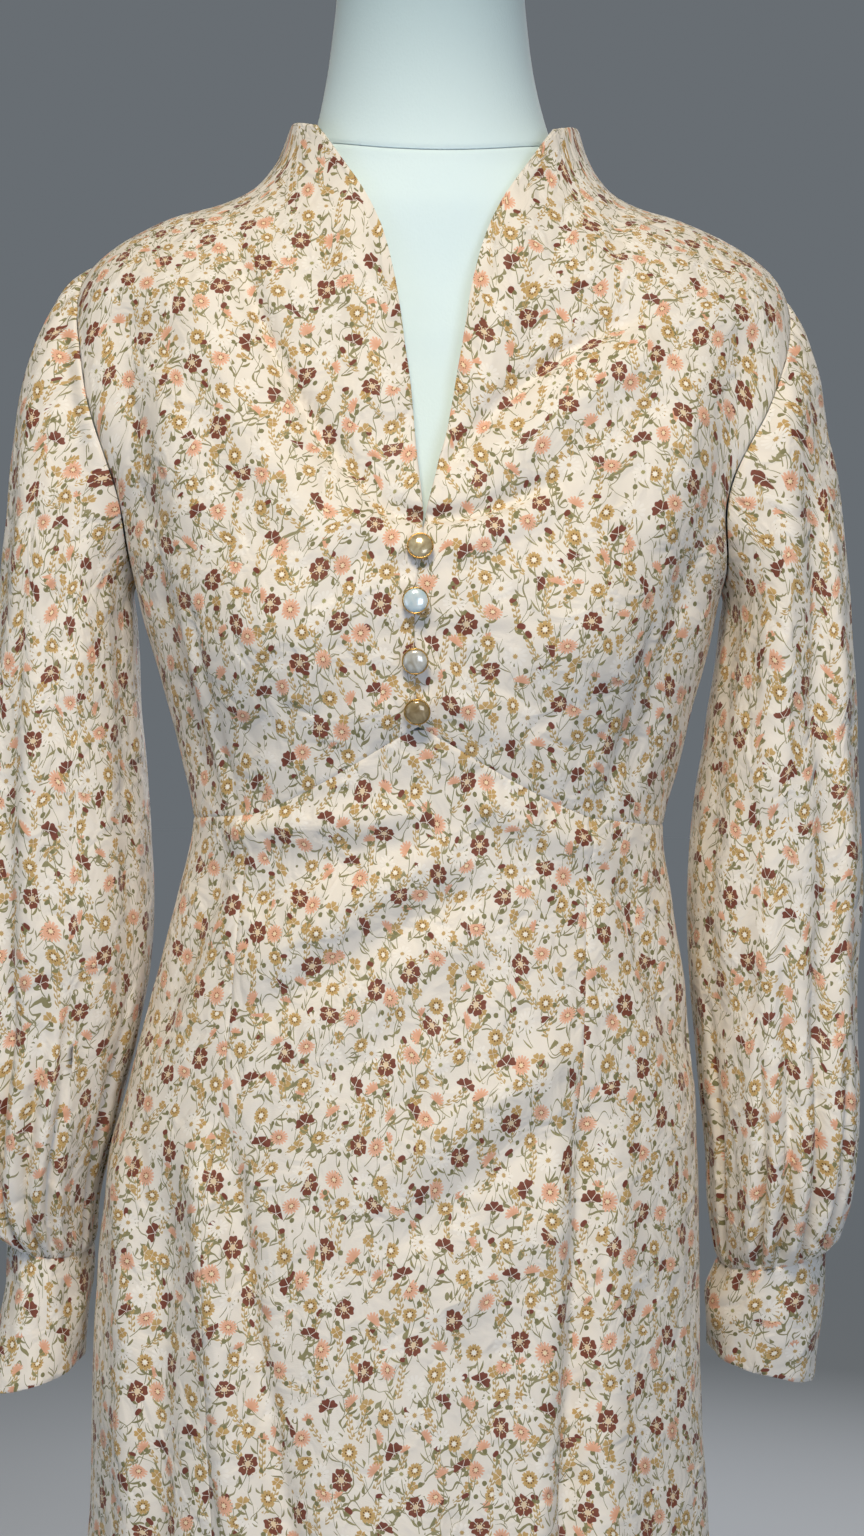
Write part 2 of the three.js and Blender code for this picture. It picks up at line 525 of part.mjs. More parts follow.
// Gives a tube's grid its inner wall, square to the surface, and closes it.
function tubeWall(grid, side, thick, { topGap, bottomGap }) {
  const rows = grid.length;
  const cols = grid[0].length;
  const inner = grid.map((row, r) =>
    row.map((p, c) => {
      const round = row[(c + 1) % cols].clone().sub(row[(c + cols - 1) % cols]);
      const down = grid[Math.min(rows - 1, r + 1)][c].clone().sub(grid[Math.max(0, r - 1)][c]);
      const n = down.cross(round).normalize();
      if (r === rows - 1) n.setZ(0).normalize();
      return p.clone().addScaledVector(n, -thick * side);
    }),
  );
  for (const g of [grid, inner]) {
    g[0].forEach((p, c) => p.addScaledVector(g[1][c].clone().sub(p).normalize(), topGap));
    g[rows - 1].forEach((p) => p.setZ(p.z + bottomGap));
  }
  return wall(grid, inner, { loop: true, flip: side > 0 });
}

function sleeve(side, name) {
  const loop = armholeLoop(side, name);
  const heads = loop.map((p, c) => sleeveHead(side, name, c / loop.length, p));
  const grid = CAP_STEPS.map((t) => heads.map((curve) => curve.getPoint(t)));
  const levels = SLEEVE_RINGS[name].slice(1).filter((r) => r.z >= CUFF_TOP_Z);
  for (const { z } of levels)
    grid.push(loop.map((_, c) => sleeveRing(side, name, z, c / loop.length, sleeveWave(c / loop.length, z))));
  return tubeWall(grid, side, WALL, { topGap: 1.2 * SEAM_GAP, bottomGap: SEAM_GAP });
}

function cuff(side, name) {
  const count = 2 * ARMHOLE_ROWS;
  const bottom = SLEEVE_RINGS[name].at(-1).z;
  const grid = range(3).map((r) =>
    range(count - 1).map((c) => sleeveRing(side, name, lerp(CUFF_TOP_Z, bottom, r / 3), c / count)),
  );
  return tubeWall(grid, side, CUFF_WALL, { topGap: 0.8 * SEAM_GAP, bottomGap: 0 });
}

// ---- Dress form and stand -----------------------------------------------------------------------
const FORM_COLUMNS = 32;

function loopRing(pointAt) {
  return range(FORM_COLUMNS - 1).map((c) => {
    const turn = (c / FORM_COLUMNS) * 360 * RAD;
    return turn <= Math.PI ? pointAt(1, turn) : pointAt(-1, 2 * Math.PI - turn);
  });
}

function insetRing(h) {
  return loopRing((side, phi) => {
    const along = signedPower(Math.cos(phi), 2 / ring.power(h));
    const end = along > 0 ? inset.front(h) : inset.back(h);
    const depth = lerp(inset.side(h), end, smooth((Math.abs(along) - 0.25) / 0.5));
    return smoothBody(side, phi, h).addScaledVector(normalOf(smoothBody, side, phi, h), -depth);
  });
}

const neckRing = (r, drop = 0) =>
  loopRing((side, phi) => {
    const p = ringPoint(side, phi, { ...r, slide: 0 });
    return p.setZ(p.z - drop);
  });

// A solid skinned over closed rings, bottom to top, with a flat fan at each end.
function skin(rings) {
  const points = rings.flat();
  const cols = rings[0].length;
  const index = [];
  for (let r = 0; r < rings.length - 1; r++)
    for (let c = 0; c < cols; c++) {
      const [a, b] = [r * cols + c, r * cols + ((c + 1) % cols)];
      index.push(a, b, b + cols, a, b + cols, a + cols);
    }
  for (const [row, up] of [[0, false], [rings.length - 1, true]]) {
    const middle = rings[row].reduce((s, p) => s.add(p), new THREE.Vector3()).divideScalar(cols);
    const m = points.push(middle) - 1;
    for (let c = 0; c < cols; c++) {
      const [a, b] = [row * cols + c, row * cols + ((c + 1) % cols)];
      if (up) index.push(a, b, m);
      else index.push(b, a, m);
    }
  }
  return new THREE.BufferGeometry().setFromPoints(points).setIndex(index);
}

function formTorso() {
  const heights = [755, 800, 850, 900, 950, 1000, 1035, 1065, 1093, 1130, 1165, 1200, 1225, 1255];
  heights.push(1280, 1305, 1325, 1345, 1358, 1371, 1384, 1397, 1410);
  const rings = heights.map(insetRing);
  rings[0].forEach((p) => p.setZ(FORM_BOTTOM_Z));
  for (const r of NECK_RINGS.slice(0, NECK_SEAM_RING)) rings.push(neckRing(r));
  rings.push(neckRing(NECK_RINGS[NECK_SEAM_RING], SEAM_GAP));
  return skin(rings);
}

const formNeck = () => skin(NECK_RINGS.slice(NECK_SEAM_RING).map((r) => neckRing(r)));

function lathe(profile, segments) {
  const outline = profile.map(([r, z]) => new THREE.Vector2(r, z));
  return new THREE.LatheGeometry(outline, segments).rotateX(90 * RAD);
}

function stand() {
  const rim = 3;
  return lathe(
    [[0, 0], [STAND_R - rim, 0], [STAND_R, rim], [STAND_R, 7], [STAND_R - rim, 10], [POLE_R + 16, STAND_THICK], [0, STAND_THICK]],
    36,
  );
}

function pole() {
  const [low, high] = [STAND_THICK + SEAM_GAP, FORM_BOTTOM_Z - SEAM_GAP];
  const collar = POLE_R + 8;
  return lathe(
    [[0, low], [collar, low], [collar, low + 30], [POLE_R, low + 34], [POLE_R, high - 6], [collar + 20, high - 3], [collar + 20, high], [0, high]],
    20,
  );
}

// ---- Buttons ------------------------------------------------------------------------------------
// A pearl dome in a thin metal cup, on a shank that stands square to the cloth.
function button() {
  const cupZ = BUTTON_STAND;
  return lathe(
    [[0, SEAM_GAP], [1.6, SEAM_GAP], [1.6, cupZ], [BUTTON_R - 1.2, cupZ + 0.3], [BUTTON_R, cupZ + 1.4],
      [BUTTON_R, cupZ + 2.2], [BUTTON_R - 1.1, cupZ + 3.2], [BUTTON_R - 3.2, cupZ + 4], [0, cupZ + 4.3]],
    14,
  );
}

// ---- Assembly -----------------------------------------------------------------------------------
const cloth = new THREE.MeshStandardMaterial({ color: 0xe9dcc6, roughness: 0.82, metalness: 0 });
const jersey = new THREE.MeshStandardMaterial({ color: 0xe3ebee, roughness: 0.9, metalness: 0 });
const pearl = new THREE.MeshStandardMaterial({ color: 0xd9d0bb, roughness: 0.22, metalness: 0 });
const steel = new THREE.MeshStandardMaterial({ color: 0xd8d8d6, roughness: 0.4, metalness: 0.6 });

const dress = new THREE.Group();

function add(name, geometry, material) {
  const mesh = new THREE.Mesh(geometry, material);
  mesh.name = name;
  dress.add(mesh);
  return mesh;
}

const SIDES = [["left", 1], ["right", -1]]; // the wearer's left is +X

for (const [name, side] of SIDES) {
  add(`bodice_front_${name}`, panel(frontPlaces(side, name), side < 0), cloth);
  add(`bodice_back_${name}`, panel(backPlaces(side, name), side < 0), cloth);
  add(`skirt_side_${name}`, panel(sideGore(side), side < 0), cloth);
  add(`skirt_back_${name}`, panel(backGore(side), side < 0), cloth);
  add(`sleeve_${name}`, sleeve(side, name), cloth);
  add(`cuff_${name}`, cuff(side, name), cloth);
}
add("skirt_front", panel(centreGore(), false), cloth);

BUTTON_HEIGHTS.forEach((z, i) => {
  const mesh = add(`button_${i + 1}`, button(), pearl);
  const seat = clothBody(1, 0, z);
  const out = normalOf(clothBody, 1, 0.02, z);
  mesh.position.copy(seat);
  mesh.quaternion.setFromUnitVectors(new THREE.Vector3(0, 0, 1), out.setX(0).normalize());
});

add("form_torso", formTorso(), jersey);
add("form_neck", formNeck(), jersey);
add("form_pole", pole(), steel);
add("form_stand", stand(), steel);

export default dress;
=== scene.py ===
# %% [markdown]
# # A printed cotton dress on a dress form
# A floor-length dress stands on a limbless form: stand neck with a slit front, four pearl buttons, a
# pointed empire seam, bust darts, five skirt gores and bishop sleeves on deep cuffs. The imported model
# gives the frame and every size. Here each panel is built again as a finer surface, with the small
# folds, seam grooves and gathers that sewing leaves, and gets its cloth.

# %% Open the frame
import math
import bmesh
import bpy
import numpy as np
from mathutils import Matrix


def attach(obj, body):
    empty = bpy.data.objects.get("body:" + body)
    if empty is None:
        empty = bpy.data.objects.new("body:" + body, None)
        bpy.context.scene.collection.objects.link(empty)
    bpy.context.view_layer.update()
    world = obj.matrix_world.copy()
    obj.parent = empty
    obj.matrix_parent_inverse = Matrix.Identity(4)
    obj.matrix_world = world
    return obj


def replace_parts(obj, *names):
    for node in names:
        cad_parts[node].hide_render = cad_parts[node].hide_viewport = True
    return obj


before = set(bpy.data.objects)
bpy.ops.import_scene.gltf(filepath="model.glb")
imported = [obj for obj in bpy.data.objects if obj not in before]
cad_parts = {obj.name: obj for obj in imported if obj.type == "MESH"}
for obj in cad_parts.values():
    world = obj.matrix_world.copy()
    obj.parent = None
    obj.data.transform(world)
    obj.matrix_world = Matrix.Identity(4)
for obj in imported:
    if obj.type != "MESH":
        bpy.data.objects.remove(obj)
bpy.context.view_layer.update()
MM = 0.001
print("nodes in the frame:", len(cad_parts))

# %% [markdown]
# ## Camera
# The eye is level with the bust and 1.35 m away. It looks straight at the front, and the frame leans
# by a hair. The field of view takes in the garment from the form's neck to the thigh.

# %% Camera
CAMERA_AT = (0.0039, -1.350, 1.125)
CAMERA_LEAN = math.radians(0.9)
HALF_VIEW = 0.430 / 1.350  # half the frame's height over the distance

camera = bpy.data.objects.new("Camera", bpy.data.cameras.new("Camera"))
bpy.context.scene.collection.objects.link(camera)
camera.location = CAMERA_AT
camera.rotation_euler = (math.pi / 2, -CAMERA_LEAN, 0)
camera.data.sensor_fit = "VERTICAL"
camera.data.sensor_height = 36
camera.data.sensor_width = 36
camera.data.lens = 18 / HALF_VIEW
bpy.context.scene.camera = camera
print("vertical view:", round(math.degrees(2 * math.atan(HALF_VIEW)), 1), "degrees")

# %% [markdown]
# ## Small tools
# A cutter marks a pattern by a few measured points and draws fair curves through them. `through`
# does that for one column of a table, for a whole array of heights at once.


# %% Curves through tables
def smooth(t):
    """Eases a share from 0 to 1: three t squared less two t cubed."""
    t = np.clip(t, 0, 1)
    return t * t * (3 - 2 * t)


def lerp(a, b, t):
    """The point a share t of the way from a to b."""
    return a + (b - a) * t


def signed_power(v, p):
    """The size of v to the power p, with v's own sign."""
    return np.sign(v) * np.abs(v) ** p


def through(keys, values, at):
    """A cubic through each pair of rows; a row's slope is the step between its two neighbours."""
    last = len(keys) - 1
    i = np.arange(last + 1)
    low, high = np.maximum(i - 1, 0), np.minimum(i + 1, last)
    slope = (values[high] - values[low]) / (keys[high] - keys[low])
    i = np.clip(np.searchsorted(keys, at) - 1, 0, last - 1)
    step = keys[i + 1] - keys[i]
    t = np.clip((at - keys[i]) / step, 0, 1)
    return (
        (2 * t**3 - 3 * t**2 + 1) * values[i]
        + (t**3 - 2 * t**2 + t) * step * slope[i]
        + (3 * t**2 - 2 * t**3) * values[i + 1]
        + (t**3 - t**2) * step * slope[i + 1]
    )


class Table:
    """Named columns over a key column; table.name(at) is the fair curve through that column."""

    def __init__(self, names, rows):
        self.names = names.split()
        self.rows = np.array(rows, float)

    def __call__(self, name, at):
        return through(self.rows[:, 0], self.rows[:, self.names.index(name)], np.asarray(at, float))


# %% [markdown]
# ## The body surface
# Every panel lies on one surface, as cloth does on a figure. Rings run round it, squared ellipses
# that are level below the armhole and tilt above it to climb over the shoulder. Each point has a side
# (+1 is the wearer's left), an angle from centre front to centre back and a ring height.

# %% Ring table, in millimetres
SEAM_H, SEAM_SIDE_H, PEAK_RISE, PEAK_REACH = 1100, 1096, 46, 90
HEM_H, ARMPIT_H, SLIT_H, COLLAR_H = 40, 1225, 1248, 1462
PRINCESS_SKEW = -4.5

RINGS = Table(
    "h zSide zBack shift half front back power slide slit seamX",
    [
        (40, 40, 40, -2, 226, 196, 206, 2.0, 0, 0, 112),
        (300, 300, 300, -4, 203, 168, 180, 2.05, 0, 0, 104),
        (520, 520, 520, -6, 184, 143, 154, 2.1, 0, 0, 96),
        (705, 705, 705, -7.5, 171.5, 124, 134, 2.15, 0, 0, 91),
        (800, 800, 800, -10.5, 169, 118, 126, 2.15, 0, 0, 93),
        (900, 900, 900, -8.5, 164.5, 114, 119, 2.15, 0, 0, 95),
        (950, 950, 950, -4.5, 157.5, 111, 114, 2.15, -1, 0, 94),
        (1000, 1000, 1000, -1, 149, 108, 107, 2.15, -2, 0, 93),
        (1050, 1050, 1050, 1.2, 138.5, 104, 97, 2.15, -3, 0, 92),
        (1093, 1093, 1093, 2.5, 131, 101, 88, 2.2, -3.5, 0, 91),
        (1128, 1128, 1128, 2.4, 138, 106, 90, 2.25, -4.5, 0, 95),
        (1163, 1163, 1163, 1.8, 147, 114, 95, 2.3, -6.5, 0, 105),
        (1200, 1200, 1200, 1, 157, 120, 99, 2.35, -7, 0, 116),
        (1225, 1225, 1225, 0.6, 163, 120, 102, 2.4, -5.5, 0, 119),
        (1255, 1263, 1255, 0.3, 176, 114, 105, 2.45, -2.5, 0.6, 118),
        (1295, 1321, 1298, 0, 200, 101, 107, 2.5, 0.3, 7.5, 114),
        (1325, 1361, 1328, 0, 202, 92, 103, 2.5, 1.2, 11.5, 109),
        (1345, 1389, 1350, 0, 197, 86, 98, 2.5, 1.2, 14.5, 104),
        (1362, 1407, 1368, 0, 184, 82, 92, 2.45, 1.2, 17, 98),
        (1378, 1421, 1386, 0, 163, 78, 86, 2.4, 1, 19.5, 90),
        (1392, 1431, 1404, 0, 140, 74, 80, 2.35, 1, 22.5, 82),
        (1405, 1438, 1420, 0, 117, 70, 74, 2.3, 1, 26, 74),
        (1418, 1446, 1438, 0, 101, 67, 68, 2.2, 1, 31, 69),
        (1432, 1457, 1458, 0, 91, 65, 64, 2.15, 1, 39, 67),
        (1446, 1469, 1479, 0, 84.5, 64, 62, 2.1, 1, 51, 70),
        (1462, 1482, 1500, 0, 80, 64, 62, 2.1, 1, 65, 74),
    ],
)
ARMHOLES = {  # the shoulder tip's ring, how deep the hole is cut, and how the sleeve head leaves it
    "left": dict(tip=1345, front=0.58, back=0.45, puff=22, drop=20),
    "right": dict(tip=1357, front=0.52, back=0.45, puff=36, drop=10),
}


# %% Rings and the bust
def ring_point(side, phi, r):
    """x is half times sine, y is minus depth times cosine, both to the power 2/n."""
    across = signed_power(np.sin(phi), 2 / r["power"])
    along = signed_power(np.cos(phi), 2 / r["power"])
    front = along > 0
    end = np.where(front, r["h"], r["zBack"])
    z = r["zSide"] + (end - r["zSide"]) * np.abs(along) ** 1.8
    x = r["shift"] + np.where(front, r["slide"] * along**2, 0) + side * r["half"] * across
    y = -np.where(front, r["front"], r["back"]) * along
    return np.stack(np.broadcast_arrays(x, y, z), -1)


BUST_X, BUST_H, BUST_WIDE, BUST_TALL, BUST_RISE = 84, 1190, 40, 44, 14  # the bells, in mm


def body(side, phi, h):
    """A ring's point, with two rounded bells of 14 mm added forwards at the bust."""
    ring = {name: RINGS(name, h) for name in RINGS.names[1:]}
    p = ring_point(side, phi, {**ring, "h": h})
    aside, up = (np.abs(p[..., 0]) - BUST_X) / BUST_WIDE, (p[..., 2] - BUST_H) / BUST_TALL
    p[..., 1] -= np.where(p[..., 1] > 0, 0, BUST_RISE * np.exp(-(aside**2) - up**2))
    return p


def unit(v):
    """Vectors of length one."""
    return v / np.maximum(np.linalg.norm(v, axis=-1, keepdims=True), 1e-12)


def outward(side, phi, h):
    """The body's normal: one short step round crossed with one short step up."""
    round_step = body(side, phi + 0.02, h) - body(side, phi - 0.02, h)
    up_step = body(side, phi, np.minimum(COLLAR_H, h + 1)) - body(side, phi, h - 1)
    return unit(np.cross(round_step, up_step) * np.asarray(side)[..., None])


# %% [markdown]
# ## Folds
# Cloth drags into soft ridges and troughs where it is pulled: from the shoulders to the first button,
# at the armholes and under the bust, and it falls in long folds from the hips. Each row is one fold,
# a curve seen from the front; minus is a trough. Then nine flutes grow towards the hem.

# %% Fold table
FOLDS = [  # face, x0, z0, x1, z1, x2, z2, width, depth
    # drapes from the shoulders, the rolled edges beside the slit, and the crease at its foot
    ("front", -110, 1420, -86, 1318, -14, 1256, 13, -1.5),
    ("front", -113, 1430, -86, 1318, -18, 1258, 4.4, -7.6),
    ("front", -134, 1402, -112, 1298, -36, 1228, 15, 6.5),
    ("front", -72, 1330, -64, 1290, -40, 1272, 5.0, -2.4),
    ("front", -44, 1446, -30, 1370, -14, 1300, 22, 6.5),
    ("front", -40, 1440, -16, 1382, -8, 1300, 8, -4.5),
    ("front", 122, 1382, 60, 1370, 12, 1300, 15, -2.6),
    ("front", 126, 1372, 54, 1352, 6, 1276, 4.8, -7.0),
    ("front", 104, 1440, 100, 1420, 96, 1398, 5.0, -3.0),
    ("front", 128, 1352, 80, 1330, 30, 1268, 13, 6.5),
    ("front", 46, 1446, 32, 1370, 18, 1310, 22, 6.5),
    ("front", 42, 1440, 19, 1382, 9, 1300, 8, -4.5),
    ("front", -38, 1270, -4, 1236, 70, 1277, 3.8, -7.2),
    ("front", -48, 1256, -24, 1244, -8, 1234, 7, 3.4),
    ("front", 8, 1234, 30, 1244, 66, 1262, 7, 3.4),
    # the armholes and the sides of the bust
    ("front", -169, 1386, -165, 1330, -148, 1236, 13, -6.0),
    ("front", 172, 1380, 170, 1320, 150, 1236, 13, -6.0),
    ("front", -140, 1350, -134, 1290, -118, 1240, 15, 3.5),
    ("front", 138, 1350, 134, 1290, 116, 1240, 15, 3.5),
    ("front", -133, 1214, -122, 1176, -104, 1100, 2.6, 1.9),
    ("front", -128, 1212, -118, 1172, -100, 1100, 3.4, -2.8),
    ("front", 129, 1218, 119, 1168, 98, 1100, 2.6, 1.9),
    ("front", 124, 1216, 114, 1164, 94, 1100, 3.4, -2.8),
    ("front", -148, 1236, -136, 1176, -114, 1108, 9, -4.6),
    ("front", 146, 1252, 124, 1184, 106, 1112, 9, -5.0),
    # the skirt: a soft roll under the empire seam, drag lines over the stomach, then long folds
    ("front", -104, 1122, -38, 1138, 0, 1168, 13, 2.6),
    ("front", 104, 1122, 38, 1138, 0, 1168, 13, 2.6),
    ("front", -110, 1088, -70, 1092, 10, 1102, 8, 7.0),
    ("front", 20, 1112, 50, 1098, 100, 1080, 8, 7.0),
    ("front", -22, 1086, -60, 1074, -98, 1048, 9, -4.2),
    ("front", 32, 1088, -30, 1066, -98, 1006, 10, 5.6),
    ("front", 44, 1070, -20, 1038, -88, 990, 8.5, -6.4),
    ("front", 86, 990, 42, 952, -8, 920, 12, 5.4),
    ("front", 80, 948, 30, 910, -20, 872, 10, -5.4),
    ("front", 84, 906, 50, 872, 10, 838, 12, 3.2),
    ("front", 50, 1034, 6, 996, -50, 962, 12, -4.0),
    ("front", -104, 1086, -124, 1034, -148, 970, 9, -6.0),
    ("front", 104, 1080, 124, 1022, 148, 960, 9, -6.5),
    ("front", -104, 948, -88, 838, -56, 690, 6.5, -9.5),
    ("front", -119, 948, -106, 850, -86, 690, 9, 8.0),
    ("front", -134, 930, -144, 810, -130, 440, 12, -9.0),
    ("front", -161, 930, -154, 850, -150, 700, 8, 5.5),
    ("front", 88, 980, 86, 820, 72, 560, 7.5, -9.0),
    ("front", 73, 940, 68, 800, 58, 620, 11, 5.0),
    ("front", 104, 940, 105, 820, 96, 600, 11, 4.5),
    ("front", -20, 760, -12, 600, 4, 300, 22, 5),
    ("front", 30, 860, 24, 760, 36, 620, 14, -2.6),
    ("front", -60, 880, -36, 790, -30, 660, 14, 2.2),
    # short pulls beside each button
    ("front", -5, 1224, -20, 1226, -40, 1236, 3.0, -1.3),
    ("front", 5, 1224, 22, 1228, 40, 1238, 3.0, -1.3),
    ("front", -5, 1196, -18, 1192, -38, 1196, 3.0, -1.2),
    ("front", 5, 1196, 24, 1190, 48, 1198, 3.2, -1.5),
    ("front", -5, 1168, -16, 1160, -34, 1160, 3.0, -1.0),
    ("front", 5, 1168, 20, 1162, 44, 1168, 3.0, -1.2),
    ("front", -1, 1204, 1, 1196, -1, 1187, 4.5, -2.4),
    ("front", 0, 1174, 2, 1168, 0, 1161, 4.5, -2.6),
    ("front", 1, 1150, 2, 1144, 1, 1138, 4.0, -1.8),
    # fine drag lines
    ("front", -156, 1276, -150, 1240, -136, 1206, 5, -1.4),
    ("front", 152, 1262, 148, 1232, 134, 1200, 5, -1.5),
    ("front", -30, 1240, -46, 1214, -70, 1196, 6, -1.1),
    ("front", 26, 1236, 42, 1210, 66, 1194, 6, -1.1),
    ("front", 100, 1420, 112, 1390, 90, 1330, 7, -1.6),
    ("front", -100, 1140, -60, 1128, -20, 1136, 8, -1.2),
    ("front", 20, 1138, 56, 1126, 90, 1136, 8, -1.2),
    # the sleeves
    ("sleeve", -198, 1390, -192, 1300, -184, 1200, 10, -4.5),
    ("sleeve", -212, 1290, -214, 1160, -206, 990, 12, 3.5),
    ("sleeve", -226, 1320, -232, 1180, -226, 1000, 9, -3.5),
    ("sleeve", -190, 1180, -184, 1080, -186, 940, 10, -5.0),
    ("sleeve", 192, 1350, 192, 1260, 190, 1160, 10, 5.0),
    ("sleeve", 216, 1350, 214, 1250, 208, 1120, 10, -4.4),
    ("sleeve", 194, 1268, 196, 1190, 192, 1090, 9, 3.6),
    ("sleeve", 186, 1120, 176, 1060, 170, 980, 10, -4.0),
    ("sleeve", 224, 1180, 222, 1080, 214, 970, 10, -4.0),
    # the back
    ("back", -74, 1196, -76, 1150, -78, 1095, 5, -2),
    ("back", 74, 1196, 76, 1150, 78, 1095, 5, -2),
    ("back", -66, 1050, -78, 900, -96, 420, 16, -5),
    ("back", 62, 1040, 76, 880, 90, 420, 16, -5),
    ("back", -120, 1240, -90, 1222, -40, 1216, 8, -1.5),
    ("back", 120, 1240, 90, 1222, 40, 1216, 8, -1.5),
    ("back", -150, 1290, -130, 1240, -96, 1200, 8, -1.8),
    ("back", 150, 1290, 130, 1240, 96, 1200, 8, -1.8),
    ("back", -20, 1090, -30, 980, -26, 760, 14, 2.2),
    ("back", 24, 1090, 30, 960, 30, 700, 14, -2.2),
]
FLUTE_COUNT, FLUTE_DEPTH, FLUTE_TOP_H, FLUTE_PHASE = 9, 15, 860, 0.55


# %% Folded cloth
def folds(p, faces=("front", "back")):
    """Adds a bell across each fold's curve: depth times exp(-(distance over width) squared)."""
    t = np.linspace(0, 1, 33)
    total = np.zeros(p.shape[:-1])
    for face, x0, z0, x1, z1, x2, z2, wide, depth in FOLDS:
        if face not in faces:
            continue
        line_x = (1 - t) ** 2 * x0 + 2 * t * (1 - t) * x1 + t**2 * x2
        line_z = (1 - t) ** 2 * z0 + 2 * t * (1 - t) * z1 + t**2 * z2
        near = (p[..., 1] > 0) == (face == "back")
        near &= (p[..., 0] > line_x.min() - 3 * wide) & (p[..., 0] < line_x.max() + 3 * wide)
        near &= (p[..., 2] > line_z.min() - 3 * wide) & (p[..., 2] < line_z.max() + 3 * wide)
        q = p[near]
        if not len(q):
            continue
        away = (q[:, 0, None] - line_x) ** 2 + (q[:, 2, None] - line_z) ** 2
        k = np.clip(away.argmin(1), 1, 31)
        a, b, c = (np.take_along_axis(away, (k + d)[:, None], 1)[:, 0] for d in (-1, 0, 1))
        lean = np.clip(0.5 * (a - c) / np.maximum(a - 2 * b + c, 1e-9), -1, 1)
        best = np.maximum(b - 0.25 * (a - c) * lean, 0)
        at = (k + lean) / 32
        fade = smooth(at / 0.22) * smooth((1 - at) / 0.22 + 0.25)
        total[near] += depth * fade * np.exp(-best / wide**2)
    return total


def crumple(p):
    """Small lasting creases of worn cotton: a few sine waves of 20 to 60 mm, each under half a mm."""
    x, y, z = (p[..., i] for i in range(3))
    a = np.sin(x / 9.1 + 1.7 * np.sin(z / 23) + y / 31) * np.sin(z / 17.3 + 0.9 * np.sin(x / 13))
    b = np.sin((x + z) / 12.7 + y / 11) * np.sin((x - 0.6 * z) / 19.1 + 2 + y / 23)
    return 0.38 * a + 0.34 * b


def cloth(side, phi, h):
    """The body moved along its normal by the folds, the crumple and the hem's flutes."""
    p = body(side, phi, h)
    grow = smooth((FLUTE_TOP_H - h) / (FLUTE_TOP_H - HEM_H))
    wave = FLUTE_DEPTH * grow * np.cos(FLUTE_COUNT * side * phi + FLUTE_PHASE)
    return p + (folds(p) + crumple(p) + wave)[..., None] * outward(side, phi, h)


# %% [markdown]
# ## Seam lines
# The pattern's seams are lines on that surface: the princess line that the skirt's side gores share
# with the bust darts, the slit at the neck, the armholes, and the empire seam with its point.


# %% Seam lines
def phi_at_x(x, h):
    """The angle at which a ring is x from its centre."""
    return np.arcsin(np.clip(x / RINGS("half", h), 0, 1) ** (RINGS("power", h) / 2))


def princess(side, h):
    """The angle of the princess line."""
    return phi_at_x(RINGS("seamX", h) + side * PRINCESS_SKEW, h)


def slit_edge(h):
    """The angle of the slit's edge: none below its foot."""
    return np.where(h <= SLIT_H, 0, phi_at_x(RINGS("slit", h), h))


def armhole(h, tip, depth):
    """The armhole's angle: its depth follows a half sine, squared off to the power 0.6."""
    s = (h - ARMPIT_H) / (tip - ARMPIT_H)
    share = depth * np.sin(np.pi * np.clip(s, 0, 1)) ** 0.6
    return np.where((s <= 0) | (s >= 1), np.pi / 2, np.arccos(share ** (RINGS("power", h) / 2)))


def empire_seam(phi):
    """Level at the side and back, and rising to a point of 46 mm at centre front."""
    x = RINGS("half", SEAM_H) * signed_power(np.sin(phi), 2 / RINGS("power", SEAM_H))
    point = PEAK_RISE * np.clip(1 - x / PEAK_REACH, 0, 1) ** 1.25
    front = lerp(SEAM_H, SEAM_SIDE_H, smooth((x - 80) / 50)) + point
    return np.where(phi >= np.pi / 2, SEAM_SIDE_H, front)


# %% [markdown]
# ## From a grid to a piece of cloth
# A cut piece is a closed wall: its right side, its wrong side 1.2 mm below and its rims. Along a seam
# the edge turns under, so the grid has lines closer and closer to each border, and they dip there. The
# UV map is the flat cut piece in millimetres, which lets the print run straight with the grain.

# %% Walls from grids
THICK = 1.2
EDGE = np.array([0, 0.5, 1.1, 1.9, 3.0, 4.6])  # millimetres from a border


def shares(length, step):
    """Shares of a length, a step apart, with the extra lines close to both ends."""
    count = max(3, round((length - 14) / step))
    middle = np.linspace(7 / length, 1 - 7 / length, count)
    return np.concatenate([EDGE / length, middle, 1 - EDGE[::-1] / length])


def reach(grid, axis):
    """Running length of a grid's lines along an axis."""
    step = np.linalg.norm(np.diff(grid, axis=axis), axis=-1)
    start = np.zeros_like(np.take(step, [0], axis))
    return np.concatenate([start, np.cumsum(step, axis)], axis)


def facing(grid, axis_xy, loop):
    """A grid's normals, turned away from a vertical axis, and 1 or -1 for the turn."""
    if loop:
        around = np.roll(grid, -1, 1) - np.roll(grid, 1, 1)
    else:
        around = np.gradient(grid, axis=1)
    n = unit(np.cross(around, np.gradient(grid, axis=0)))
    away = grid[..., :2] - np.asarray(axis_xy)
    turn = 1 if (n[..., :2] * away).sum() > 0 else -1
    return n * turn, turn


def mesh_object(name, points, quads, uv, soft, material):
    """Puts arrays into a mesh: points in mm, quads of point numbers, a UV for each corner in m."""
    mesh = bpy.data.meshes.new(name)
    mesh.vertices.add(len(points))
    mesh.vertices.foreach_set("co", (points * MM).astype(np.float32).ravel())
    mesh.loops.add(quads.size)
    mesh.loops.foreach_set("vertex_index", quads.astype(np.int32).ravel())
    mesh.polygons.add(len(quads))
    mesh.polygons.foreach_set("loop_start", np.arange(0, quads.size, 4, dtype=np.int32))
    mesh.polygons.foreach_set("use_smooth", soft)
    mesh.update(calc_edges=True)
    mesh.uv_layers.new(name="Cut").data.foreach_set("uv", (uv * MM).astype(np.float32).ravel())
    mesh.materials.append(material)
    made = bpy.data.objects.new(name, mesh)
    bpy.context.scene.collection.objects.link(made)
    return made


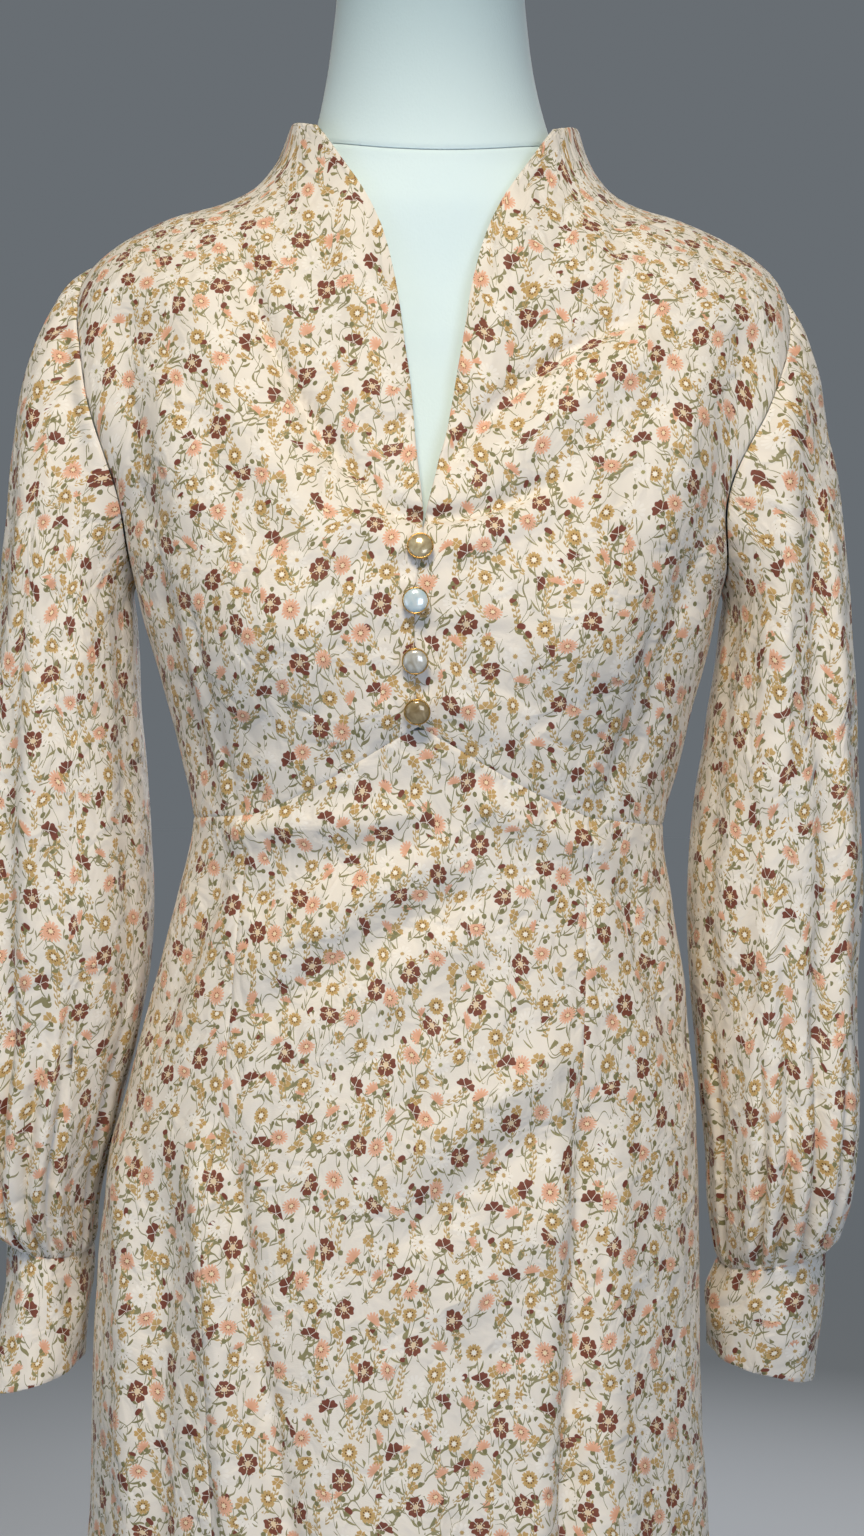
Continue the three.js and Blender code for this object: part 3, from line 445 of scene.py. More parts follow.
def corners(g):
    """The four corners of each cell of a grid."""
    return np.stack([g[:-1, :-1], g[:-1, 1:], g[1:, 1:], g[1:, :-1]], 2)


def wall(name, outer, inner, uv, turn, loop, material):
    """Closes two grids with rims. Each corner takes its UV from the same place of the uv grid."""
    rows, cols = outer.shape[:2]
    ids = np.arange(rows * cols).reshape(rows, cols)
    if loop:
        ids = np.hstack([ids, ids[:, :1]])
    under = ids + rows * cols

    def strip(a, b):
        return np.stack([a[1:], a[:-1], b[:-1], b[1:]], 1)

    face_uv = corners(uv).reshape(-1, 4, 2)
    quads = [corners(ids).reshape(-1, 4), corners(under).reshape(-1, 4)[:, ::-1]]
    maps = [face_uv, face_uv[:, ::-1]]
    borders = [(0, slice(None), 1), (-1, slice(None), -1)]
    if not loop:
        borders += [(slice(None), 0, -1), (slice(None), -1, 1)]
    for r, c, way in borders:
        quads.append(strip(ids[r, c], under[r, c])[:, ::way])
        maps.append(strip(uv[r, c], uv[r, c])[:, ::way])
    soft = np.repeat([True, True] + [False] * len(borders), [len(q) for q in quads])
    quads, maps = np.concatenate(quads), np.concatenate(maps)
    if turn < 0:
        quads, maps = quads[:, ::-1], maps[:, ::-1]
    points = np.concatenate([outer.reshape(-1, 3), inner.reshape(-1, 3)])
    return mesh_object(name, points, quads, maps, soft, material)


# %% Sewn panels
def sewn(grid, loop=False, seams="abcd", thick=THICK, axis=(0, 0)):
    """A grid's right and wrong sides. Near the borders named in seams (a and b are the first and
    last rows, c and d the first and last columns) it dips by 0.6 mm, with small puckers."""
    n, turn = facing(grid, axis, loop)
    along, round_ = reach(grid, 0), reach(grid, 1)
    gaps = {"a": along, "b": along[-1:] - along}
    if not loop:
        gaps |= {"c": round_, "d": round_[:, -1:] - round_}
    near = np.full(grid.shape[:2], 99.0)
    for key in seams:
        if key in gaps:
            near = np.minimum(near, gaps[key])
    run = grid.sum(-1)
    pucker = 0.22 * np.sin(run / 2.9) * np.sin(run / 7.7 + 1) * np.exp(-near / 5) * (near < 40)
    dip = -0.6 * np.exp(-((near / 1.2) ** 2)) + pucker
    outer = grid + n * dip[..., None]
    return outer, outer - thick * n, turn


def declare(piece, node):
    """Hangs a cloth piece on the root and hides the solid that it stands for."""
    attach(piece, "root")
    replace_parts(piece, node)


# %% [markdown]
# ## Colours and a node helper
# Dye colours are written as sRGB hex values and turned to linear light once.


# %% Colour and node helpers
def colour(text):
    """Hex sRGB to linear: a value c is c/12.92 in the dark, else ((c + 0.055) / 1.055) ** 2.4."""
    c = np.array([int(text[i : i + 2], 16) / 255 for i in (1, 3, 5)])
    linear = np.where(c <= 0.04045, c / 12.92, ((c + 0.055) / 1.055) ** 2.4)
    return (*linear.tolist(), 1.0)


def feed(tree, node, inputs):
    """Feeds a node's inputs by number or name: an output is linked and a value is set."""
    for key, value in inputs.items() if isinstance(inputs, dict) else enumerate(inputs):
        if isinstance(value, bpy.types.NodeSocket):
            tree.links.new(value, node.inputs[key])
        else:
            node.inputs[key].default_value = value


def add(tree, kind, inputs=(), out=0, **settings):
    """Adds a node, sets its settings, feeds its inputs and returns one of its outputs."""
    made = tree.nodes.new("ShaderNode" + kind)
    for key, value in settings.items():
        setattr(made, key, value)
    feed(tree, made, inputs)
    return made.outputs[out]


def maths(tree, operation, *inputs):
    """One sum on numbers."""
    return add(tree, "Math", inputs, operation=operation)


def vectors(tree, operation, *inputs):
    """One sum on vectors. A length and a dot product are numbers."""
    out = "Value" if operation in ("LENGTH", "DOT_PRODUCT") else 0
    return add(tree, "VectorMath", inputs, out, operation=operation)


def mix(tree, share, a, b):
    """The colour a share of the way from a to b."""
    return add(tree, "Mix", {0: share, 6: a, 7: b}, 2, data_type="RGBA")


def material(name):
    """A new material with its tree, and the shader that is already in it."""
    made = bpy.data.materials.new(name)
    made.use_nodes = True
    return made, made.node_tree, made.node_tree.nodes["Principled BSDF"]


# %% [markdown]
# ## The print
# A ditsy print is small sprigs tossed all over a pale ground. Each layer here scatters one sprig in
# each random cell of a Voronoi pattern, worked out in millimetres of cloth: a flower at the top, and
# below it a bent stem with leaves on alternate sides. A flower is drawn in polar form, where its edge
# is a radius less a bite between the petals. The rows below are the kinds of flower.

# %% Flower kinds
FLOWER_COLUMNS = "share petals radius bite curve split below eye ring petal heart pupil bead".split()
LARGE_FLOWERS = [  # five groups of 0.2: neighbouring cells take different groups
    (0.11, 5, 6.0, 1.2, 3.0, 0.20, -9, 1.8, 2.8, "#804836", "#6B3828", "#E3CFAF", "#D9BF98"),
    (0.09, 5, 5.4, 1.0, 3.5, 0.16, -0.9, 0, 0, "#7E4636", "#6A3727", "#E3CFAF", "#652F22"),
    (0.20, 9, 4.5, 0.9, 1.6, 0.0, -9, 1.4, 2.0, "#CDAD74", "#BB985A", "#FAF5E9", "#5F3C22"),
    (0.12, 16, 5.8, 2.2, 1.1, 0.0, -9, 1.1, 1.6, "#ECBBA0", "#DEA383", "#F3E2C0", "#86552F"),
    (0.08, 14, 5.3, 2.0, 1.1, 0.0, -0.6, 0, 0, "#ECBBA0", "#DEA383", "#F3E2C0", "#86552F"),
    (0.15, 12, 6.6, 3.6, 1.6, 0.1, -9, 1.3, 0, "#F5F1EA", "#EFEAE1", "#C2A56F", "#C2A56F"),
    (0.05, 14, 4.7, 1.8, 1.1, 0.0, -0.6, 0, 0, "#ECBBA0", "#DEA383", "#F3E2C0", "#86552F"),
    (0.08, 5, 4.2, 1.3, 2.2, 0.12, -0.8, 0, 0, "#CEAF78", "#BA985B", "#F7EFDD", "#6E4A2A"),
    (0.05, 1, 2.0, 0.0, 2.0, 0.0, -1.3, 0, 0, "#7C4234", "#7C4234", "#7C4234", "#7C4234"),
    (0.07, 12, 6.2, 3.4, 1.6, 0.1, -9, 1.2, 0, "#F5F1EA", "#EFEAE1", "#A9A473", "#A9A473"),
]
SMALL_FLOWERS = [
    (0.20, 1, 1.9, 0.0, 2.0, 0.0, -1.3, 0, 0, "#7C4234", "#7C4234", "#7C4234", "#7C4234"),
    (0.40, 4, 3.2, 1.1, 2.0, 0.1, -9, 0, 0, "#CBAA6F", "#BD9A5C", "#F0DFB8", "#A87B35"),
    (0.20, 9, 3.4, 1.3, 1.4, 0.0, -0.5, 0, 0, "#ECBCA2", "#DEA383", "#F3DDB8", "#7A5030"),
    (0.20, 1, 1.7, 0.0, 2.0, 0.0, -1.3, 0, 0, "#7C4234", "#7C4234", "#7C4234", "#7C4234"),
]
GROUND, CALYX = "#EFEAE1", "#827F58"
OLIVE, OCHRE = ("#86825A", "#A09A6E"), ("#B79E68", "#C9AD74")


# %% Sprigs
def by_kind(tree, pick, kinds, stops):
    """A value for each kind of flower: steps along the random number pick. stops are colours."""
    made = tree.nodes.new("ShaderNodeValToRGB")
    ramp = made.color_ramp
    ramp.interpolation = "CONSTANT"
    at = 0.0
    for i, (kind, stop) in enumerate(zip(kinds, stops)):
        element = ramp.elements[0] if i == 0 else ramp.elements.new(at)
        element.position, element.color = at, stop
        at += kind[0]
    ramp.elements.remove(ramp.elements[len(ramp.elements) - 1])
    tree.links.new(pick, made.inputs[0])
    return made.outputs[0]


def scatter(tree, spot, cells, seed, loose):
    """Random cells: the place from each cell's own point in mm, three random numbers, and a fourth
    that goes through five groups in turn: the fraction of 0.4 times the column plus 0.2 times the row."""
    cx, cy = cells
    grid = vectors(tree, "MULTIPLY_ADD", spot, (1 / cx, 1 / cy, 0), (seed, 1.7 * seed, 0))
    cell = add(tree, "TexVoronoi", {"Vector": grid, "Scale": 1, "Randomness": loose}, "Color",
               voronoi_dimensions="2D")
    centre = cell.node.outputs["Position"]
    away = vectors(tree, "SUBTRACT", grid, centre)
    away = vectors(tree, "MULTIPLY", away, (cx, cy, 0))
    r, g, b = add(tree, "SeparateColor", (cell,)).node.outputs[:3]
    whole = vectors(tree, "FLOOR", centre)
    group = vectors(tree, "DOT_PRODUCT", whole, (0.4, 0.2, 0))
    group = maths(tree, "FRACT", maths(tree, "ADD", group, 0.005))
    return away, (r, g, b, maths(tree, "MULTIPLY_ADD", r, 0.19, group))


def turn(tree, vector, random, most):
    """Turns a place by up to most radians either way."""
    angle = maths(tree, "MULTIPLY_ADD", random, 2 * most, -most)
    return add(tree, "VectorRotate", {"Vector": vector, "Angle": angle}, rotation_type="Z_AXIS")


def vine(tree, off, y, pick, leaf):
    """A stem along off = 0, with leaves up both its sides: each is a lens, wide times one less the
    square of its share, bent by 0.8 of that square. leaf is their distance, length and half width."""
    every, long_, wide = leaf
    aside = maths(tree, "ABSOLUTE", off)
    stem = maths(tree, "LESS_THAN", aside, 0.24)
    which = maths(tree, "GREATER_THAN", off, 0)
    phase = maths(tree, "MULTIPLY_ADD", which, 0.5, pick)
    step = maths(tree, "MULTIPLY_ADD", y, 1 / every, phase)
    rise = maths(tree, "MULTIPLY", maths(tree, "FRACT", step), every)
    spread = add(tree, "CombineXYZ", (aside, rise, 0))
    along = vectors(tree, "DOT_PRODUCT", spread, (0.62, 0.78, 0))
    apart = vectors(tree, "DOT_PRODUCT", spread, (0.78, -0.62, 0))
    share = maths(tree, "MULTIPLY_ADD", along, 2 / long_, -1)
    square = maths(tree, "MULTIPLY", share, share)
    lens = maths(tree, "MULTIPLY_ADD", square, -wide, wide)
    bent = maths(tree, "MULTIPLY_ADD", square, 0.8, maths(tree, "SUBTRACT", apart, 0.4))
    blade = maths(tree, "LESS_THAN", maths(tree, "ABSOLUTE", bent), lens)
    return maths(tree, "MAXIMUM", stem, blade)


def stem_and_leaves(tree, place, paint, bend, pick, head, leaf, tints):
    """A vine that hangs from the flower and is bent as the square of its length."""
    x, y = add(tree, "SeparateXYZ", (place,)).node.outputs[:2]
    down = maths(tree, "MULTIPLY_ADD", y, -0.1, 0.1 * head)
    sway = maths(tree, "MULTIPLY_ADD", bend, 9.0, -4.5)
    square = maths(tree, "MULTIPLY", down, down)
    off = maths(tree, "SUBTRACT", x, maths(tree, "MULTIPLY", square, sway))
    below = maths(tree, "GREATER_THAN", down, 0)
    green = maths(tree, "MULTIPLY", vine(tree, off, y, pick, leaf), below)
    tint = mix(tree, bend, colour(tints[0]), colour(tints[1]))
    return mix(tree, green, paint, tint)


def sprigs(tree, spot, paint, cells, seed, kinds, head, leaf, tints):
    """Paints a sprig in each cell of the cloth: stem and leaves, calyx, petals, eye and its dots."""
    table = [dict(zip(FLOWER_COLUMNS, row)) for row in kinds]
    away, (_, lean, size, pick) = scatter(tree, spot, cells, seed, 0.7)
    place = turn(tree, away, lean, 0.55)
    paint = stem_and_leaves(tree, place, paint, size, lean, head, leaf, tints)

    # the flower's own place: tipped to one side and seen a little from above
    seen = turn(tree, vectors(tree, "SUBTRACT", place, (0, head, 0)), size, 1.2)
    squash = maths(tree, "MULTIPLY_ADD", lean, 0.45, 0.95)
    seen = vectors(tree, "MULTIPLY", seen, add(tree, "CombineXYZ", (1, squash, 0)))
    x, y = add(tree, "SeparateXYZ", (seen,)).node.outputs[:2]
    rho = vectors(tree, "MULTIPLY", seen, (0.125, 0.125, 0))
    rho = vectors(tree, "LENGTH", rho)
    angle = maths(tree, "ARCTAN2", x, y)

    # this kind's numbers, packed in threes as shares of 16 or 8
    shape = by_kind(tree, pick, kinds, [
        (k["petals"] / 16, k["radius"] / 8, k["bite"] / 8, 1) for k in table])
    petals, radius, bite = add(tree, "SeparateColor", (shape,)).node.outputs[:3]
    shape = by_kind(tree, pick, kinds, [
        (k["split"] * k["petals"] / 16, (k["below"] + 10) / 16, k["curve"] / 8, 1) for k in table])
    split, cut, curve = add(tree, "SeparateColor", (shape,)).node.outputs[:3]
    shape = by_kind(tree, pick, kinds, [(k["eye"] / 8, k["ring"] / 8, 0, 1) for k in table])
    eye, ring = add(tree, "SeparateColor", (shape,)).node.outputs[:2]
    petal_tint, heart_tint, pupil_tint, bead_tint = (
        by_kind(tree, pick, kinds, [colour(k[part]) for k in table])
        for part in ("petal", "heart", "pupil", "bead"))

    # petals: fold is 0 along a petal's middle and 0.5 between two petals
    count = maths(tree, "MULTIPLY", petals, 16 / math.tau)
    fold = maths(tree, "PINGPONG", maths(tree, "MULTIPLY", angle, count), 0.5)
    twice = maths(tree, "MULTIPLY", fold, 2)
    bow = maths(tree, "POWER", twice, maths(tree, "MULTIPLY", curve, 8))
    edge = maths(tree, "SUBTRACT", radius, maths(tree, "MULTIPLY", bite, bow))
    ripple = maths(tree, "COSINE", maths(tree, "MULTIPLY", fold, 4 * math.pi))
    edge = maths(tree, "MULTIPLY_ADD", ripple, -0.04, edge)
    inside = maths(tree, "GREATER_THAN", edge, rho)
    above = maths(tree, "GREATER_THAN", y, maths(tree, "MULTIPLY_ADD", cut, 16, -10))
    disc = maths(tree, "MULTIPLY", inside, above)
    gap = maths(tree, "MULTIPLY", maths(tree, "SUBTRACT", 0.5, fold), rho)
    petal = maths(tree, "GREATER_THAN", maths(tree, "MULTIPLY", gap, math.pi), split)

    # the eye is an eight-pointed star, and the dots stand between its points
    points = maths(tree, "MULTIPLY", angle, 8 / math.tau)
    points = maths(tree, "PINGPONG", points, 0.5)
    star = maths(tree, "MULTIPLY", eye, maths(tree, "MULTIPLY_ADD", points, -0.9, 1.2))
    in_eye = maths(tree, "LESS_THAN", rho, star)
    bead = maths(tree, "COMPARE", rho, ring, 0.045)
    bead = maths(tree, "MULTIPLY", bead, maths(tree, "GREATER_THAN", points, 0.28))
    bead = maths(tree, "MULTIPLY", bead, maths(tree, "GREATER_THAN", ring, 0.05))

    # the calyx under a flower seen from the side
    base = maths(tree, "MULTIPLY_ADD", cut, 16, -10.7)
    foot = vectors(tree, "SUBTRACT", seen, add(tree, "CombineXYZ", (0, base, 0)))
    foot = vectors(tree, "MULTIPLY", foot, (0.75, 0.6, 0))
    calyx = maths(tree, "LESS_THAN", vectors(tree, "LENGTH", foot), 1)

    deep = add(tree, "MapRange", (rho, 0.1, 0.6, 0.8, 0))
    tone = mix(tree, deep, petal_tint, heart_tint)
    bloom = mix(tree, petal, colour(GROUND), tone)
    bloom = mix(tree, in_eye, bloom, pupil_tint)
    bloom = mix(tree, bead, bloom, bead_tint)
    paint = mix(tree, calyx, paint, colour(CALYX))
    return mix(tree, disc, paint, bloom)


# %% Trailing stems
def trails(tree, spot, paint, apart, seed, lean, leaf, tint):
    """Paints thin wandering vines a set distance apart, with gaps where a slow noise is low."""
    slow = vectors(tree, "MULTIPLY_ADD", spot, (1 / 16, 1 / 26, 0), (seed, seed, 0))
    noise = add(tree, "TexNoise", {"Vector": slow, "Scale": 1, "Detail": 1}, "Color",
                noise_dimensions="2D")
    wander, gaps = add(tree, "SeparateColor", (noise,)).node.outputs[:2]
    u, v = add(tree, "SeparateXYZ", (spot,)).node.outputs[:2]
    line = maths(tree, "MULTIPLY_ADD", v, lean, u)
    line = maths(tree, "MULTIPLY_ADD", wander, 30, line)
    off = maths(tree, "WRAP", line, apart / 2, -apart / 2)
    keep = maths(tree, "GREATER_THAN", gaps, 0.44)
    drawn = maths(tree, "MULTIPLY", vine(tree, off, v, wander, leaf), keep)
    return mix(tree, drawn, paint, colour(tint))


# %% [markdown]
# ## Cotton sateen
# The dress is printed cotton sateen: long floats of combed yarn give it a low lustre, brighter on
# the crown of a fold than plain weave would be. So it is fairly rough, with a sheen. Its yarns are
# 0.2 mm apart, too fine to show, so the bump draws them about 1 mm coarse and very shallow.


# %% Cotton sateen
def cotton_sateen():
    """The printed cloth: trailing stems and sprigs on the ground, a faint yarn and crease bump."""
    made, tree, shader = material("printed cotton sateen")
    spot = vectors(tree, "MULTIPLY", add(tree, "UVMap", (), uv_map="Cut"), (1000, 1000, 0))
    slub = add(tree, "TexNoise", {"Vector": spot, "Scale": 0.05, "Detail": 2}, "Color",
               noise_dimensions="2D")
    mottle = add(tree, "SeparateColor", (slub,))
    paint = mix(tree, mottle, colour("#EAE4DA"), colour("#F3EEE6"))
    paint = trails(tree, spot, paint, 12.5, 3.1, 0.3, (13.0, 6.0, 0.66), "#918C66")
    paint = trails(tree, spot, paint, 15.0, 8.7, -0.4, (17.0, 5.2, 0.6), "#989370")
    paint = sprigs(tree, spot, paint, (17.0, 23.0), 4.4, SMALL_FLOWERS, 6, (3.3, 3.0, 0.62), OCHRE)
    paint = sprigs(tree, spot, paint, (12.4, 16.4), 0.6, LARGE_FLOWERS, 3.5, (15.0, 6.2, 0.72), OLIVE)
    feed(tree, shader, {"Base Color": paint, "Roughness": 0.6, "Specular IOR Level": 0.35,
                        "Sheen Weight": 0.15, "Sheen Roughness": 0.35})
    yarn = vectors(tree, "MULTIPLY", spot, (0.55, 1.5, 0))
    yarn = add(tree, "TexNoise", {"Vector": yarn, "Scale": 1, "Detail": 1}, noise_dimensions="2D")
    fine = add(tree, "Bump", {"Strength": 0.25, "Distance": 0.0003, "Height": yarn})
    crease = add(tree, "TexNoise", {"Vector": spot, "Scale": 0.045, "Detail": 2.5, "Distortion": 0.6},
                 noise_dimensions="2D")
    soft = add(tree, "Bump", {"Strength": 0.75, "Distance": 0.004, "Height": crease, "Normal": fine})
    tree.links.new(soft, shader.inputs["Normal"])
    print("sateen nodes:", len(tree.nodes))
    return made


SATEEN = cotton_sateen()

# %% [markdown]
# ## Bodice
# The front is cut in two halves with a dart under each bust, and the back in two halves. Each half is
# one grid: shares across it run from the centre to the armhole, shares up it from the empire seam to
# the top of the stand neck, with close lines where the armhole starts and ends.


# %% Bodice panels
def bodice_shares(tip):
    """Shares up the bodice, with lines that crowd together at the armpit and the shoulder tip."""
    span = COLLAR_H - SEAM_SIDE_H
    low, high = (ARMPIT_H - SEAM_SIDE_H) / span, (tip - SEAM_SIDE_H) / span
    eased = (1 - np.cos(np.pi * np.linspace(0, 1, 56))) / 2
    below = np.concatenate([EDGE / span, np.linspace(7 / span, low, 34)[:-1]])
    above = np.concatenate([np.linspace(high, 1 - 7 / span, 26)[1:], 1 - EDGE[::-1] / span])
    return np.concatenate([below, lerp(low, high, eased), above])


DART_SHARE = 8 / 15  # of a front's columns, those from the centre to the dart


def bodice_front(side, name):
    """Angles and heights of a front half. Its columns bend to follow the slit and the dart."""
    hole = ARMHOLES[name]
    v, c = np.meshgrid(bodice_shares(hole["tip"]), shares(190, 3.4), indexing="ij")
    centre = np.clip(c / DART_SHARE, 0, 1)
    outer = np.clip((c - DART_SHARE) / (1 - DART_SHARE), 0, 1)
    h = lerp(empire_seam(lerp(princess(side, SEAM_H) * centre, np.pi / 2, outer)), COLLAR_H, v)
    line = np.maximum(princess(side, h), slit_edge(h) + 0.02)
    phi = lerp(lerp(slit_edge(h), line, centre), armhole(h, hole["tip"], hole["front"]), outer)
    return phi, h


def bodice_back(name):
    """Angles and heights of a back half, from the armhole to centre back."""
    hole = ARMHOLES[name]
    v, c = np.meshgrid(bodice_shares(hole["tip"]), shares(170, 3.4), indexing="ij")
    h = lerp(SEAM_SIDE_H, COLLAR_H, v)
    return lerp(np.pi - armhole(h, hole["tip"], hole["back"]), np.pi, c), h


def flat_cut(across, up, seed):
    """The flat piece: lengths across and up in mm, moved to its own place in the print."""
    return np.stack([across + 211.3 * seed, up + 137.9 * seed], -1)


SIDES = (("left", 1), ("right", -1))
for seed, (name, side) in enumerate(SIDES):
    phi, h = bodice_front(side, name)
    grid = cloth(side, phi, h)
    start = np.abs(grid[:, :1, 0] - grid[:1, :1, 0])
    uv = flat_cut(side * (reach(grid, 1) + start), reach(grid, 0) + grid[:1, :, 2], seed)
    outer, inner, turn = sewn(grid)
    piece = wall(f"cloth_bodice_front_{name}", outer, inner, uv, turn, False, SATEEN)
    declare(piece, f"bodice_front_{name}")

    phi, h = bodice_back(name)
    grid = cloth(side, phi, h)
    across = reach(grid, 1)
    uv = flat_cut(side * (across[:, -1:] - across), reach(grid, 0), seed + 2)
    outer, inner, turn = sewn(grid)
    piece = wall(f"cloth_bodice_back_{name}", outer, inner, uv, turn, False, SATEEN)
    declare(piece, f"bodice_back_{name}")

# %% [markdown]
# ## Skirt
# Five gores hang from the empire seam and flare to the hem. A gore's grain runs down its middle, so
# the flat cut measures across from there.


# %% Skirt gores
def skirt_rows(top):
    """Ring heights from the hem to the seam, about 6 mm apart, closer at both ends."""
    return lerp(HEM_H, top, shares(1060, 6)[:, None])


def skirt_front():
    """The centre gore, between the two princess lines."""
    c = 2 * shares(200, 4.2) - 1
    side = np.where(c < 0, -1, 1)
    top = np.where(c < 0, princess(-1, SEAM_H), princess(1, SEAM_H)) * np.abs(c)
    h = skirt_rows(empire_seam(top)[None])
    phi = np.where(c < 0, princess(-1, h), princess(1, h)) * np.abs(c)
    return side[None] + 0 * phi, phi, h


def skirt_side(side):
    """A side gore, from the princess line to the side seam."""
    c = shares(100, 4.2)[None]
    h = skirt_rows(empire_seam(lerp(princess(side, SEAM_H), np.pi / 2, c)))
    return side + 0 * h, lerp(princess(side, h), np.pi / 2, c), h


def skirt_back(side):
    """A back gore, from the side seam to centre back."""
    phi = lerp(np.pi / 2, np.pi, shares(250, 4.6))[None]
    h = skirt_rows(SEAM_SIDE_H + 0 * phi)
    return side + 0 * h, phi + 0 * h, h


gores = {"skirt_front": skirt_front()}
for name, side in SIDES:
    gores[f"skirt_side_{name}"] = skirt_side(side)
    gores[f"skirt_back_{name}"] = skirt_back(side)
for seed, (node, (side, phi, h)) in enumerate(gores.items()):
    grid = cloth(side, phi, h)
    across = reach(grid, 1)
    way = -1 if node in ("skirt_side_right", "skirt_back_right") else 1
    uv = flat_cut(way * (across - across[:, -1:] / 2), reach(grid, 0), seed + 5)
    outer, inner, turn = sewn(grid)
    piece = wall(f"cloth_{node}", outer, inner, uv, turn, False, SATEEN)
    declare(piece, node)

# %% [markdown]
# ## Sleeves
# A bishop sleeve leaves the armhole in a soft head, falls straight and is gathered into a deep cuff.
# It is one tube: the head is a curve from each armhole point to a level ring, and below that come
# the rings of the table. The gathers are sharp at the cuff and melt upwards into long folds.

# %% Sleeve tables
SLEEVE_NAMES = "z inner outer yMid deep lean"
SLEEVES = {
    "left": Table(SLEEVE_NAMES, [
        (791, 166, 226, 28, 46, 7), (828, 164, 230, 18, 47, 0), (855, 170, 228, 11, 45, -5),
        (860, 168, 230, 11, 49, -4.5), (870, 166, 232, 11, 56, -4), (885, 164, 236, 11, 63, -3),
        (905, 163, 239, 11, 69, -2), (935, 160, 242, 11, 74, -1), (980, 155, 242, 11, 75, 0),
        (1030, 150, 243, 10, 74, 0), (1090, 151, 243, 9, 72, 0), (1150, 158, 240, 7, 68, 0),
        (1205, 165, 236, 5, 63, 0),
    ]),
    "right": Table(SLEEVE_NAMES, [
        (786, 186, 241, 0, 51, 6), (828, 184, 231, 8, 50, 1), (855, 184, 229, 13, 49, -3),
        (860, 183, 232, 13, 52, -3), (870, 182, 240, 13, 57, -2.5), (885, 180, 247, 13, 63, -2),
        (905, 176, 250, 13, 69, -1), (935, 169, 251, 13, 74, 0), (980, 159, 250, 12, 75, 0),
        (1030, 153, 250, 10, 74, 0), (1090, 155, 249, 9, 72, 0), (1150, 160, 245, 7, 68, 0),
        (1205, 164, 241, 5, 63, 0),
    ]),
}
SLEEVE_POWER, SLEEVE_LEVEL_Z, CUFF_TOP_Z = 2.2, 1205, 855
SLEEVE_ROUND = 370  # flat width of a sleeve
CUFF_ROUND, CUFF_THICK = 205, 2.2
GATHERS = 15


# %% Sleeve surface
def sleeve_ring(side, name, z, q, out=0):
    """A level squared ellipse: q is 0 inside the arm, 0.25 in front, 0.5 outside."""
    t = {key: SLEEVES[name](key, z) for key in ("inner", "outer", "yMid", "deep", "lean")}
    across = signed_power(np.cos(math.tau * q), 2 / SLEEVE_POWER)
    along = signed_power(np.sin(math.tau * q), 2 / SLEEVE_POWER)
    x = (t["outer"] + t["inner"]) / 2 - ((t["outer"] - t["inner"]) / 2 + out) * across
    y = t["yMid"] - (t["deep"] + out) * along
    return np.stack(np.broadcast_arrays(side * x, y, z + t["lean"] * across), -1)


def sleeve_wave(q, z):
    """Gathers above the cuff, each ending at its own height, and five long folds above them. Next
    to the skirt nothing swells outwards, so that sleeve and skirt stay apart."""
    own = 0.5 + 0.5 * np.sin(math.tau * 4 * q + 1.1)
    gather = smooth((985 + 60 * own - z) / (90 + 60 * own)) * smooth((z - CUFF_TOP_Z) / 14 + 0.25)
    crowd = GATHERS * q + 0.35 * np.sin(math.tau * 3 * q + 0.6) + 0.2 * np.sin(math.tau * 5 * q)
    crest = 2 * np.abs(np.cos(np.pi * crowd)) ** 0.6 - 1.2
    long_ = smooth((1290 - z) / 120) * smooth((z - 870) / 90)
    drift = math.tau * 5 * q + 0.9 + 0.5 * np.sin(z / 95)
    elbow = 1.3 * np.exp(-(((z - 1040) / 70) ** 2)) * np.sin(math.tau * 3 * q + z / 17)
    free = 0.45 + 0.55 * smooth(0.5 - 0.9 * np.cos(math.tau * q))
    wave = 7.4 * gather * crest
    wave = wave + long_ * free * (4.0 * np.cos(drift) + 1.4 * np.cos(2.6 * drift + 1) + elbow)
    skirt_side = smooth((np.cos(math.tau * q) - 0.35) / 0.4)
    return np.where(wave > 0, wave * (1 - skirt_side), wave)


def armhole_line(side, name, q):
    """Up the armhole's front edge from the armpit and down its back edge, as q goes from 0 to 1."""
    hole = ARMHOLES[name]
    rise = np.where(q <= 0.5, 2 * q, 2 - 2 * q)
    h = lerp(ARMPIT_H, hole["tip"], (1 - np.cos(np.pi * rise)) / 2)
    front = armhole(h, hole["tip"], hole["front"])
    back = np.pi - armhole(h, hole["tip"], hole["back"])
    return cloth(side, np.where(q <= 0.5, front, back), h)


def sleeve_head(side, name, q, t):
    """A cubic curve for each q: out of the armhole, over the head, and straight down at the ring."""
    hole = ARMHOLES[name]
    start = armhole_line(side, name, q)
    end = sleeve_ring(side, name, SLEEVE_LEVEL_Z, q, sleeve_wave(q, SLEEVE_LEVEL_Z))
    rise = (1 - np.cos(math.tau * q)) / 2
    leave = np.stack([side * lerp(5, hole["puff"], rise**1.3), -4 * np.sin(math.tau * q),
                      -lerp(6, hole["drop"], rise) - 9 * np.sin(np.pi * rise)], -1)
    land = np.stack([-side * 5 * rise, 0 * rise, lerp(6, 85, rise)], -1)
    t = t[:, None, None]
    return ((1 - t) ** 3 * start + 3 * t * (1 - t) ** 2 * (start + leave)
            + 3 * t**2 * (1 - t) * (end + land) + t**3 * end)


